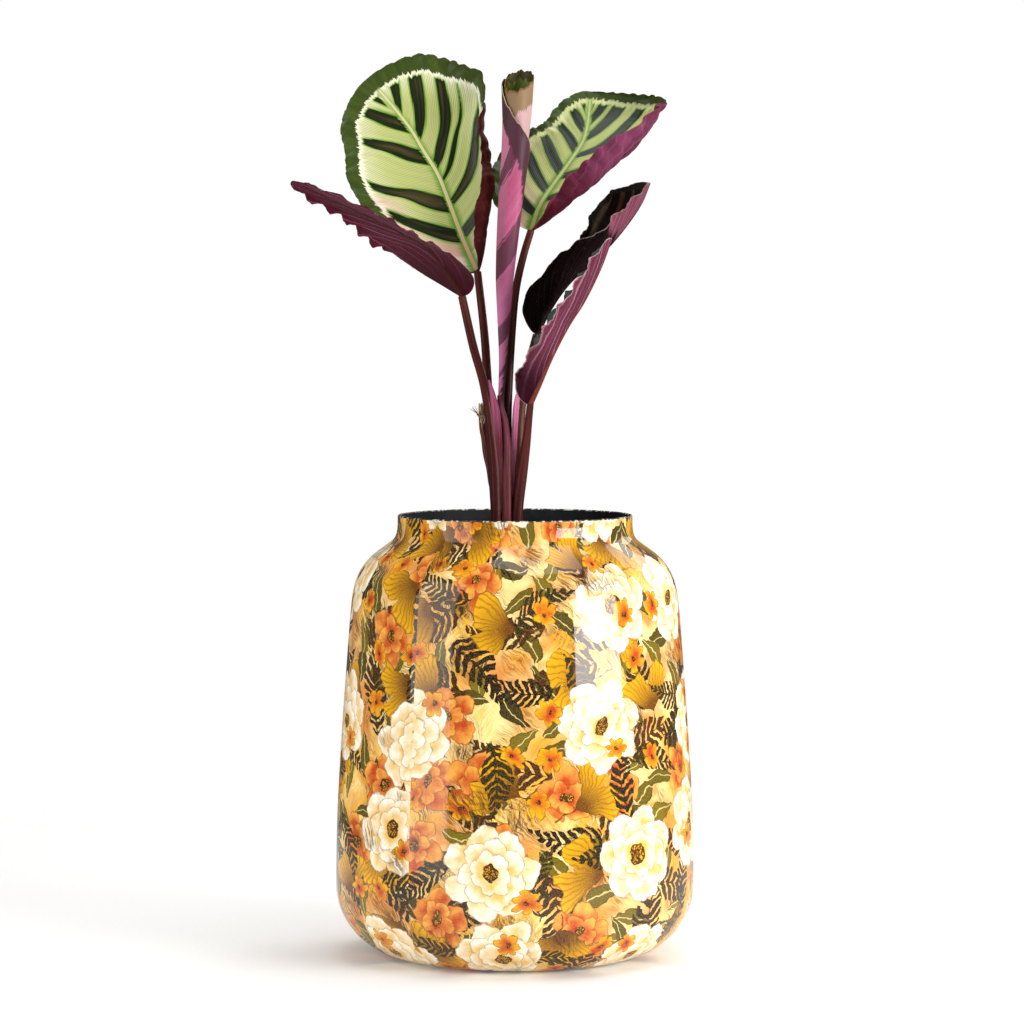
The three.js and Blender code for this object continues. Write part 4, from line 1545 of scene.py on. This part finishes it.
@dataclass
class OldStub:
    """The dried stalk of a cut leaf, split and frayed at its top."""

    line: tuple[tuple[float, float, float, float], ...] = (
        (-9, 7.9, 200, 1), (-9, 7.9, 220, 1), (-9.6, 8.2, 245, 1), (-12.8, 8.6, 264, 1.1),
        (-15.8, 8.8, 281, 1.2), (-17.8, 8.9, 294, 1.3), (-18.6, 8.9, 301, 1.25),
        (-19, 8.9, 306, 0.8))
    radius: float = 1.9
    rings: int = 110
    around: int = 30
    fibres: int = 30
    seed: int = 11
    husk: DryHusk = DryHusk()

    def build(self) -> bpy.types.Object:
        """Builds the stub and lets it stand for its solid.

        Returns:
            The piece.
        """
        share = np.linspace(0, 1, self.rings)
        centre, along, length = along_curve([p[:3] for p in self.line], share)
        scale = np.interp(share, np.linspace(0, 1, len(self.line)), [p[3] for p in self.line])
        turn = ring_angles(self.around)
        crease = (1 + 0.09 * np.sin(7 * turn) + 0.06 * np.sin(11 * turn + 1)
                  + 0.08 * np.sin(share[:, None] * 40 + 3 * np.cos(turn)))
        wide = 0.92 * self.radius * scale[:, None] * crease
        points = ring_points(centre, along, wide, 0.8 * wide, self.around)
        ragged = np.tile(0.9 * np.sin(5 * turn + 1) + 0.7 * np.sin(11 * turn), self.rings)
        points[:, 2] += ragged * np.repeat(smooth(0.9, 1.0, share), self.around)
        skin = Skin.tube(points, turn * self.radius, share * length, share)
        piece = skin.build("old_stub_husk", [self.husk.make()], "dry_stub", sharp=70)
        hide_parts("old_stub")
        return piece

    def build_fibres(self) -> bpy.types.Object:
        """Builds the loose fibres at the top of the stub. Every fourth is a dark thread.

        Returns:
            One piece with all the fibres.
        """
        rng = np.random.default_rng(self.seed)
        whole: Skin | None = None
        rings, around = 14, 6
        for k in range(self.fibres):
            thread = k % 4 == 0
            start = np.array([-18.6 + rng.uniform(-1.4, 1.2), 8.6 + rng.uniform(-1.4, 1),
                              300 + rng.uniform(-5, 2)])
            reach = rng.uniform(5, 8) if thread else rng.uniform(2, 5)
            lean = np.array([rng.uniform(-0.8, 0.4), rng.uniform(-0.5, 0.3), 1.0])
            bend = rng.uniform(-1, 1, 3) * np.array([2.6, 2.0, 0.4]) * (1.4 if thread else 1)
            share = np.linspace(0, 1, rings)
            path = (start + np.outer(share * reach, unit(lean))
                    + np.outer(share ** 2, bend)
                    + np.outer(0.5 * np.sin(share * 7 + k), [1.0, 0.4, 0.0]) * share[:, None])
            tangent = unit(np.gradient(path, axis=0))
            thick = rng.uniform(0.25, 0.5) * (0.7 if thread else 1) * (1 - 0.7 * share)
            fibre = Skin.tube(ring_points(path, tangent, thick, 0.7 * thick, around),
                              0.3 * np.arange(around) + k, share * reach,
                              np.full(rings, 0.3 if thread else 1.1))
            whole = whole.join(fibre) if whole else fibre
        return whole.build("old_stub_fibres", [self.husk.make()], "dry_stub", sharp=80)


# Vase and soil


@dataclass
class Vase:
    """The shouldered vase, spun from thin sheet metal. "print_radius" is the radius at which
    the print is true to size, and "seam" is where its ends meet, in degrees."""

    height: float = 245.0
    mouth: float = 65.3
    belly: float = 100.0
    belly_height: float = 46.0
    flat: float = 60.5
    wall: float = 1.4
    around: int = 288
    shoulder: tuple[tuple[float, float], ...] = (
        (99.4, 75), (97, 120), (93.2, 170), (91.3, 195), (89.5, 206.5), (85.9, 215),
        (80.2, 222), (71.4, 228.4), (66.8, 231.8), (65.3, 237))
    print_radius: float = 95.0
    seam: float = -125.0

    def outline(self) -> np.ndarray:
        """Lays out the outside, from the middle of the underside to the lip.

        Returns:
            Radius and height of each corner.
        """
        corner = self.belly - self.flat
        turn = np.radians(np.linspace(-90, -6, 22))
        foot = np.column_stack([self.flat + corner * np.cos(turn),
                                corner + corner * np.sin(turn)])
        wall = np.array([(self.belly, self.belly_height), *self.shoulder,
                         (self.mouth, self.height - self.wall / 2)])
        for _ in range(3):
            cut = np.stack([0.75 * wall[:-1] + 0.25 * wall[1:],
                            0.25 * wall[:-1] + 0.75 * wall[1:]], axis=1)
            wall = np.vstack([wall[:1], cut.reshape(-1, 2), wall[-1:]])
        floor = np.column_stack([np.linspace(0, self.flat - 0.6, 12), np.zeros(12)])
        return np.vstack([floor, foot, wall])

    def inward(self, profile: np.ndarray, distance: float) -> np.ndarray:
        """The outline moved in by a distance.

        Args:
            profile: Radius and height of the outside.
            distance: How far it moves in.

        Returns:
            Radius and height of the moved outline.
        """
        along = unit(np.gradient(profile, axis=0))
        moved = profile + distance * np.column_stack([-along[:, 1], along[:, 0]])
        moved[:, 1] = np.maximum(moved[:, 1], distance)
        moved[0, 0] = 0.0
        return moved

    def build(self) -> bpy.types.Object:
        """Builds the vase and lets it stand for its solid.

        Returns:
            The piece.
        """
        round_off = self.wall / 2
        outside = self.outline()
        inside = self.inward(outside, self.wall)[::-1]
        inside[0] = (self.mouth - self.wall, self.height - round_off)
        turn = np.linspace(0, np.pi, 9)[1:-1]
        lip = np.column_stack([self.mouth - round_off + round_off * np.cos(turn),
                               self.height - round_off + round_off * np.sin(turn)])
        profile = np.vstack([outside, lip, inside])
        length = travelled(profile)
        angle = math.radians(self.seam) + 2 * np.pi * np.arange(self.around) / self.around
        # The two ends of the profile lie on the axis: each is one point, closed by a fan.
        radius, level = profile[1:-1, :1], profile[1:-1, 1:]
        points = np.stack([radius * np.cos(angle), radius * np.sin(angle),
                           np.repeat(level, self.around, 1)], -1)
        high = len(outside) - 2
        low = high + len(lip) + 1
        rough = 0.22 * np.sin(angle * 23) * np.sin(angle * 61 + 1) + 0.12 * np.sin(angle * 143)
        points[high + 1:low, :, 2] += np.minimum(rough, 0)
        skin = Skin.lathe(points, 0, self.wall)
        rings = len(radius)
        skin.parts = [0 if r < high else 1 if r < low else 2 for r in range(rings - 1)
                      for _ in range(self.around)] + [0, 2] * self.around
        # A face's place in the print: millimetres round the wall and up its profile.
        pace = 2 * np.pi / self.around * self.print_radius
        shown = [v for r in range(rings - 1) for k in range(self.around)
                 for column, ring in ((k, r), (k + 1, r), (k + 1, r + 1), (k, r + 1))
                 for v in (pace * column, length[ring + 1])] + [0.0] * 12 * self.around
        finishes = [PrintedLacquer().make(), CHIPPED_EDGE.make(), PRIMER.make()]
        piece = skin.build("vase", finishes, "lacquer", sharp=40)
        piece.data.uv_layers.new(name=LEAF_MAP).uv.foreach_set("vector", shown)
        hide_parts("pot")
        return piece


@dataclass
class Soil:
    """Potting soil with its crumbs, bark and perlite. The bare ground starts at radius
    "shore" and "drop" below the top, and the bits lie within radius "clear"."""

    vase: Vase
    top: float = 220.0
    shore: float = 76.0
    drop: float = 4.0
    mound: float = 2.5
    spread: float = 26.0
    lump: float = 0.7
    gap: float = 0.3
    around: int = 220
    rings: int = 110
    clear: float = 62.0
    seed: int = 4

    def height(self, x: np.ndarray, y: np.ndarray) -> np.ndarray:
        """Shapes the mound and the lumps of the surface.

        Args:
            x: Places across.
            y: Places from front to back.

        Returns:
            Heights over the top level.
        """
        mound = self.mound * np.exp(-(x * x + y * y) / self.spread ** 2)
        lumps = np.sin(x * 0.31 + 1.1) * np.cos(y * 0.27) + np.sin(x * 0.13 - y * 0.22)
        fine = sum(np.sin(x * a + y * b + c) / n for n, (a, b, c) in enumerate((
            (0.9, 0.5, 0.3), (-0.6, 1.1, 2.0), (1.7, -1.3, 0.7), (2.3, 1.9, 4.0)), 2))
        return mound + self.lump * lumps + 0.45 * fine

    def build(self) -> bpy.types.Object:
        """Builds the body of soil and lets it stand for its solid.

        Returns:
            The piece.
        """
        side = self.vase.inward(self.vase.outline(), self.vase.wall + self.gap)
        side = side[side[:, 1] < self.top - self.drop]
        top = np.column_stack([np.linspace(self.shore, 1.0, self.rings),
                               np.full(self.rings, self.top)])
        profile = np.vstack([side[1:], top])
        radius, level = profile[:, :1], profile[:, 1:]
        angle = 2 * np.pi * np.arange(self.around) / self.around
        x, y = radius * np.cos(angle), radius * np.sin(angle)
        fade = np.where(level >= self.top, np.minimum(1, (side[-1, 0] - radius) / 12), 0)
        z = level + fade * self.height(x, y)
        skin = Skin.lathe(np.stack([x, y, z], -1), side[0, 1], z[-1].mean())
        piece = skin.build("soil_body", [POTTING_SOIL.make()], "soil", sharp=180)
        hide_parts("soil")
        return piece

    def scatter(self, name: str, count: int, sizes: tuple[float, float],
                finish: bpy.types.Material) -> bpy.types.Object:
        """Strews angular bits half sunk in the surface.

        Args:
            name: Name of the piece.
            count: How many bits.
            sizes: Least and greatest radius.
            finish: Their material.

        Returns:
            One object with all the bits.
        """
        rng = np.random.default_rng(self.seed + count)
        golden = (1 + 5 ** 0.5) / 2
        signs = [(a, b) for b in (golden, -golden) for a in (1, -1)]
        base = unit(np.array([(0, a, b) for a, b in signs] + [(a, b, 0) for a, b in signs]
                             + [(b, 0, a) for a, b in signs]))
        near = np.linalg.norm(base[:, None] - base[None], axis=2) < 1.2
        sides = [f for f in combinations(range(12), 3)
                 if all(near[a, b] for a, b in combinations(f, 2))]
        sides = [f if np.linalg.det(base[list(f)]) > 0 else (f[0], f[2], f[1]) for f in sides]
        points: list[np.ndarray] = []
        faces: list[Face] = []
        for _ in range(count):
            reach = self.clear * math.sqrt(rng.uniform(0, 1))
            angle = rng.uniform(0, 2 * np.pi)
            x, y = reach * math.cos(angle), reach * math.sin(angle)
            size = rng.uniform(*sizes) * rng.uniform(0.6, 1.0, 3)
            shape = base * (1 + rng.uniform(-0.25, 0.25, (12, 1))) * size
            spin = rng.uniform(0, 2 * np.pi)
            turn = np.array([[math.cos(spin), -math.sin(spin), 0],
                             [math.sin(spin), math.cos(spin), 0], [0, 0, 1]])
            z = self.top + float(self.height(np.array(x), np.array(y))) + 0.25 * size[2]
            faces += [tuple(k + 12 * len(points) for k in f) for f in sides]
            points.append(shape @ turn.T + np.array([x, y, z]))
        return Skin(np.vstack(points), faces).build(name, [finish], "soil", sharp=30)

    def build_bits(self) -> list[bpy.types.Object]:
        """Builds the crumbs, bark chips and perlite on the surface.

        Returns:
            One piece of each kind.
        """
        earth = POTTING_SOIL.make()
        return [self.scatter("soil_crumbs", 620, (0.5, 1.7), earth),
                self.scatter("bark_chips", 70, (1.5, 3.4), earth),
                self.scatter("perlite_grains", 60, (0.6, 1.4), PERLITE.make())]


# Studio, in metres


@dataclass
class Studio:
    """A plain pale floor, soft lights and the camera. The camera stands where the rim and
    foot of the vase put it. "world" lights the scene, "mirrored" is what shiny things see of
    it, and the floor fades out towards radius "fade"."""

    place: Point = (-0.00167, -2.1, 0.3605)
    pitch: float = 3.11
    focal: float = 132.89
    sensor: float = 36.0
    world: float = 0.5
    mirrored: float = 0.12
    glow: float = 0.08
    fade: float = 0.75
    floor: float = 0.8

    def add(self, name: str, data: bpy.types.ID, place: Point = (0, 0, 0)) -> bpy.types.Object:
        """Puts an object in the scene.

        Args:
            name: Its name.
            data: Its camera, lamp or mesh.
            place: Where it stands.

        Returns:
            The object.
        """
        thing = bpy.data.objects.new(name, data)
        thing.location = place
        bpy.context.scene.collection.objects.link(thing)
        return thing

    def camera(self) -> None:
        """Sets the camera at the photograph's angle."""
        lens = bpy.data.cameras.new("camera")
        lens.lens, lens.sensor_width = self.focal, self.sensor
        lens.clip_start, lens.clip_end = 0.05, 60.0
        camera = self.add("camera", lens, self.place)
        camera.rotation_euler = (math.radians(90 - self.pitch), 0, 0)
        bpy.context.scene.camera = camera

    def light(self, name: str, place: Point, size: tuple[float, float], power: float,
              aim: Point = (0, 0, 0.25)) -> None:
        """Hangs a soft box.

        Args:
            name: Name of the light.
            place: Where it hangs.
            size: Width and height.
            power: Watts.
            aim: The point that it faces.
        """
        lamp = bpy.data.lights.new(name, "AREA")
        lamp.shape = "RECTANGLE"
        lamp.size, lamp.size_y, lamp.energy = *size, power
        box = self.add(name, lamp, place)
        box.rotation_euler = (Vector(aim) - Vector(place)).to_track_quat("-Z", "Y").to_euler()

    def ground(self) -> None:
        """Lays the white paper floor, which fades out."""
        mesh = bpy.data.meshes.new("paper_floor")
        corners = [(x * self.floor, y * self.floor, 0) for x, y in (
            (-1, -1), (1, -1), (1, 1), (-1, 1))]
        mesh.from_pydata(corners, [], [(0, 1, 2, 3)])
        g = Graph("paper_floor")
        fibre = g.add("TexNoise", named={"Scale": 900.0})
        g.colour = g.add("MixRGB", g.add("MapRange", fibre, 0.3, 0.7), "#e6e6e5", "#ebebea")
        reach = g.add("VectorMath", g.add("TexCoord", out="Object"), out="Value",
                      operation="LENGTH")
        cover = g.add("MapRange", reach, 0.35, self.fade, 1.0, 0.0, **SOFT)
        mesh.materials.append(g.finish(0.9, Emission_Color=linear("#ffffff"),
                                       Emission_Strength=self.glow, Alpha=cover))
        self.add("paper_floor", mesh)

    def surroundings(self) -> None:
        """Sets a white world: plain to the camera, dim in reflections, and a soft fill."""
        world = bpy.data.worlds.new("studio")
        bpy.context.scene.world = world
        g = Graph("studio", world)
        seen = g.add("LightPath").node.outputs
        strength = g.add("MapRange", seen["Is Glossy Ray"], 0.0, 1.0, self.world, self.mirrored)
        strength = g.add("MapRange", seen["Is Camera Ray"], 0.0, 1.0, strength, 1.0)
        g.add("OutputWorld", g.add("Background", (1, 1, 1, 1), strength))

    def build(self) -> None:
        """Sets up the floor, the lights, the surroundings and the camera."""
        self.camera()
        self.ground()
        self.light("softbox_right", (1.15, -0.75, 0.42), (0.85, 0.5), 20)
        self.light("strip_left", (-1.25, -0.8, 0.6), (0.85, 1.5), 12)
        self.light("softbox_top", (0.2, 0.1, 1.7), (1.4, 1.0), 15)
        self.light("softbox_back", (0.9, 1.0, 0.9), (0.7, 0.9), 6, (0, 0, 0.35))
        self.surroundings()
        bpy.context.scene.view_settings.view_transform = "Standard"


# The plant's tables


def leaves() -> list[Blade]:
    """The five open leaves, from the part's named values.

    Returns:
        The leaves, the two that show their upper faces first.
    """
    green = LeafUpperFace("leaf_upper_epidermis")
    return [
        Blade(
            "blade_upper_left", "leaf_upper_left", "patterned_leaf",
            ((-21, 14, 380), (-29, 18, 398), (-37, 23, 419), (-43, 27, 434), (-52, 31, 449),
             (-60, 34, 462), (-73, 37, 478), (-83, 40, 489)),
            ((0.1, -1, 0.15), (0.1, -1, 0.2), (0.05, -1, 0.2)),
            Half((12, 27, 38, 44, 45, 42, 33, 24), (0, -8, -4, 0), (4, 4, 8, 10), lobes=0.4),
            Half((13, 32, 45, 43, 47.5, 52, 38.5, 29), (40, 30, 12, 5, 0, 0, 0),
                 (170, 180, 175, 160, 105, 40, 20), (2.4, 2.4, 2.5, 3.5, 4.5, 5, 5), 1.4),
            Wave(1.2, 1.5, 8, 0),
            (Stripe(0.17, (7, 8, 6.5, 3)), Stripe(0.315, (8, 8.5, 6.5, 3)),
             Stripe(0.55, (7.5, 7.5, 5.5, 2.5)), Stripe(0.715, (7, 7, 5, 2.5)),
             Stripe(0.845, (4.5, 5.5, 4, 2), 2.6)),
            (Stripe(0.17, (6, 6, 5, 3)), Stripe(0.32, (3, 5, 5, 4)),
             Stripe(0.43, (1.4, 2.8, 1.6, -0.5)), Stripe(0.5, (4, 6, 6, 5), bend=0.25),
             Stripe(0.65, (3.5, 7, 8, 7)), Stripe(0.785, (2.5, 5.5, 6.5, 5))),
            green, LeafUnderside("underside_brown_burgundy", body="#461414", base="#421816",
                                 deep="#2c090a", vein="#5a2a26"), 1, stripe_gap=9.6),
        Blade(
            "blade_upper_right", "leaf_upper_right", "patterned_leaf",
            ((9, 16, 403), (14, 22, 417), (21, 30, 428), (31, 40, 442), (39, 50, 455),
             (42, 60, 469), (43, 67, 483)),
            ((-0.35, -0.75, 0.6), (-0.2, -0.8, 0.6), (0, -0.85, 0.6)),
            Half((12, 28, 36, 36, 31, 25, 19, 12), (10, 5, 5, 5), (15, 15, 15, 10), lobes=0.8),
            Half((14, 36, 49, 53, 54.5, 54, 50, 45), (5, 5, 5, -2, -9), (160, 155, 145, 110, 60),
                 (2.4, 2.4), 1.6),
            Wave(1.0, 2.4, 9, 0.6),
            (Stripe(0.1, (4, 5, 5, 4)), Stripe(0.26, (4.5, 5.5, 5.5, 4)),
             Stripe(0.41, (5.5, 6.5, 6, 4.5)), Stripe(0.58, (5, 6, 5.5, 4)),
             Stripe(0.73, (4, 5.5, 4.5, 3)), Stripe(0.86, (3, 4, 3.5, 2.5), 2.6)),
            (Stripe(0.2, (4, 6, 6, 5)), Stripe(0.38, (4, 6, 6, 5)),
             Stripe(0.54, (3, 5, 5, 4)), Stripe(0.68, (3.5, 6.5, 6.5, 5)),
             Stripe(0.79, (3, 6, 5.5, 4)), Stripe(0.89, (2.5, 3.5, 3, 2))),
            LeafUpperFace("leaf_upper_younger", midrib="#c0c87e", midrib_base="#a4a860",
                          zone=5.0, growth=0.0, margin="#3e4c22", sheen="#22301a",
                          stripe="#0a1404", halo="#4c8608", outer="#b8bc7a",
                          cream="#ccd094"),
            LeafUnderside("underside_wine", body="#723450", base="#46121e",
                          deep="#541e34", vein="#9c5e78", margin="#84303e",
                          strand=0.25, relief=0.12), 2, gap_growth=0.0),
        Blade(
            "blade_left", "leaf_left", "leaf_underside",
            ((-29.5, -5, 366.5), (-37, -11, 379.5), (-48, -20, 393), (-60, -28, 400),
             (-82, -40, 411), (-100, -48, 419), (-120.5, -54, 428)),
            ((0.5, 0.45, 0.8), (0.35, 0.4, 0.9), (0.35, 0.4, 0.9)),
            Half((14, 22, 25, 29, 31, 28, 22, 11), (-2, -18, -17, -14), (5, 0, 0, 0)),
            Half((8, 27, 33, 31, 22, 14, 11, 7), (8, 2, 0, 0), (0, -5, -8, -8)),
            Wave(1.0, 2.0, 9, 0.3, 0.35), herringbone(0.1, 0.16), herringbone(0.16, 0.16),
            green, LeafUnderside("underside_plum", body="#680e2c", base="#44081a",
                                 deep="#36040f", vein="#b06488", midrib="#4a2a16",
                                 strand=0.75, cord_pitch=15.0, cord_from=0.9, gloss=0.2,
                                 relief=0.6), 3, vein_slant=2.6),
        Blade(
            "blade_right", "leaf_right", "leaf_underside",
            ((12, 8, 345), (19, 10, 359), (29, 13, 373), (40, 16, 383), (50.5, 18, 392.5),
             (61.5, 20, 405), (70.5, 21, 418), (75.5, 22, 429.5)),
            ((-0.85, 0.2, 0.5), (-0.85, 0, 0.5), (-0.75, -0.35, 0.5), (-0.7, -0.5, 0.5)),
            Half((12, 19, 18, 18, 19, 24, 26, 19), (10, 5, 0, 0), (190, 200, 170, 60, 20),
                 (1.2, 1.2)),
            Half((16, 28, 25, 20, 17, 16, 11, 6), (20, 15, 10, 40, 40),
                 (220, 220, 220, 190, 110, 50, 35, 30, 25), (1.1, 1.1)),
            Wave(1.4, 1.6, 7, 0, 0, 0.5), herringbone(0.1, 0.15), herringbone(0.17, 0.15),
            LeafUpperFace("leaf_upper_shaded", ground="#6a4210", outer="#5e4218",
                          line="#482c0a", halo="#2c240a", stripe="#0c0905", sheen="#1c1408",
                          margin="#34342a", cream="#6c6448", blush="#6a4428",
                          midrib="#8a7a4a", midrib_base="#6a4428", zone=1.6),
            # Its near-black base and dark midrib are painted shade, where the near half curls over
            # and faces down; the mauve above is the leaf's own colour.
            LeafUnderside("underside_mauve_with_painted_shade", body="#84485a", base="#0a0404",
                          deep="#5a2838", vein="#a07080", midrib="#1c0c0c",
                          margin="#8c7c74", turns_at=(0.62, 0.7)), 4, vein_slant=1.6,
            stripe_gap=2.2, gap_growth=0.0),
        Blade(
            "blade_lower_right", "leaf_lower_right", "leaf_underside",
            ((8, -10, 306), (13, -12, 317), (20, -14, 333), (29, -16, 350), (38, -18, 364),
             (47, -19, 382), (53, -20, 398)),
            ((-0.85, 0.1, 0.5), (-0.85, 0.1, 0.5), (-0.8, 0.1, 0.5)),
            Half((5, 11, 17, 22, 23, 20, 15, 8), (65, 50, 34, 28, 26, 26), (10, 5, 5, 5),
                 (1.5, 1.5)),
            Half((11, 18, 25, 30, 29, 25, 18, 10), (45, 36, 20, 11, 10, 10, 10, 10, 10),
                 (15, 12, 10, 10), (1.5, 1.5)),
            Wave(1.8, 1.5, 7, 0.5, 0, 0.8), herringbone(0.1, 0.16), herringbone(0.17, 0.16),
            LeafUpperFace("leaf_upper_dusky", margin="#41554a", halo="#5c7468",
                          stripe="#26332c", cream="#c6ccb8"),
            LeafUnderside("underside_mauve", body="#702c44", base="#2e0818",
                          deep="#4c1a2c", vein="#b48494", midrib="#74382c",
                          margin="#b49a94", turns_at=(0.08, 0.42), strand=0.6, cord_pitch=13.0,
                          cord_from=0.88, gloss=0.1, relief=0.4), 5, vein_slant=2.6),
    ]


def petioles(blades: Sequence[Blade]) -> list[Petiole]:
    """The six leaf stalks, from the part's named values.

    Args:
        blades: The open leaves that five of them carry.

    Returns:
        The stalks, left to right and front to back.
    """
    ends: dict[str, Point] = {"rolled": (-8, -3, 311.5)}
    for blade in blades:
        point, along, _ = along_curve(blade.spine, np.array([0.0]))
        sunk = 1.2 if blade.node == "leaf_lower_right" else -0.3
        ends[blade.name.removeprefix("blade_")] = tuple(point[0] + sunk * along[0])
    maroon = StemSkin("petiole_maroon")
    pink = StemSkin("petiole_pink", body="#5a1e20", light="#8a4446", deep="#300e10",
                    top="#6a2c3e", foot="#4a201a")
    dark = StemSkin("petiole_dark", body="#1e0b09", light="#4c2018", deep="#100504",
                    top="#6a3022", foot="#2c140e")
    tan = StemSkin("petiole_tan", body="#6a3a2c", light="#9a6a4c", deep="#42201c",
                   top="#1e0d0c")
    left_wing = Wing((0.96, -0.28, 0), (
        (-8.9, -4.0, 246, 1.7), (-9, -4.3, 262, 2.0), (-9.4, -4.9, 275, 2.6),
        (-10, -5.3, 290, 2.9), (-10.9, -5.5, 303, 2.5), (-12.6, -5.4, 313, 1.5),
        (-14.4, -5, 320, 0.5)), StemSkin(
            "sheath_half_pink", body="#5c222c", light="#9a5464", deep="#360f18",
            top="#d06a98", foot="#4a1814", rough=0.36))
    right_wing = Wing((0.85, 0.53, 0), (
        (-0.6, 0.9, 255, 1.5), (0, 1, 272, 2.4), (0.5, 1.1, 290, 2.8),
        (0.9, 1.2, 304, 2.4), (1.5, 1.5, 312, 1.3)), StemSkin(
            "sheath_pink", body="#bc5684", light="#e096b4", deep="#7c3054", top="#cc6c98",
            foot="#8a3a58", rough=0.36))
    return [
        Petiole("left", 0, -1, 2.3,
                ((-11.1, -3.2, 270), (-13.3, -3.4, 292), (-17.2, -3.6, 317),
                 (-23.3, -4, 339)), ends["left"], maroon, left_wing),
        Petiole("rolled", 1, -1, 1.9,
                ((-4.6, -3, 268), (-4.6, -3, 284), (-5.8, -3, 297), (-7.7, -3, 304)),
                ends["rolled"], pink),
        Petiole("lower_right", 2, -1, 2, ((4.2, -3.6, 270), (6.4, -5.4, 287)),
                ends["lower_right"], maroon),
        Petiole("upper_left", 0, 1, 2.2,
                ((-12, 3.2, 270), (-13.6, 3.6, 292), (-15.6, 4.4, 325), (-17.2, 5.4, 347)),
                ends["upper_left"], maroon),
        Petiole("upper_right", 1, 1, 2.1,
                ((-4.4, 3.2, 275), (-3.9, 3.4, 308), (-1.7, 5, 347), (0.6, 7.4, 370),
                 (4.5, 11, 388)), ends["upper_right"], dark),
        Petiole("right", 2, 1, 2.1, ((1.9, 3.2, 275), (3.9, 3.4, 306), (7.6, 5, 328)),
                ends["right"], tan, right_wing),
    ]


def report(piece: bpy.types.Object) -> None:
    """Logs a finished piece."""
    LOG.info("%s: %d faces", piece.name, len(piece.data.polygons))


def main() -> None:
    """Builds every sub-assembly in order and reports each piece."""
    logging.basicConfig(level=logging.INFO, format="%(name)s %(message)s")
    Studio().build()
    vase = Vase()
    soil = Soil(vase)
    report(vase.build())
    report(soil.build())
    for bits in soil.build_bits():
        report(bits)
    blades = leaves()
    for blade in blades:
        report(blade.build())
    report(RolledLeaf().build())
    for stalk in petioles(blades):
        report(stalk.build())
    stub = OldStub()
    report(stub.build())
    report(stub.build_fibres())
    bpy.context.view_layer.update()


if __name__ == "__main__":
    main()
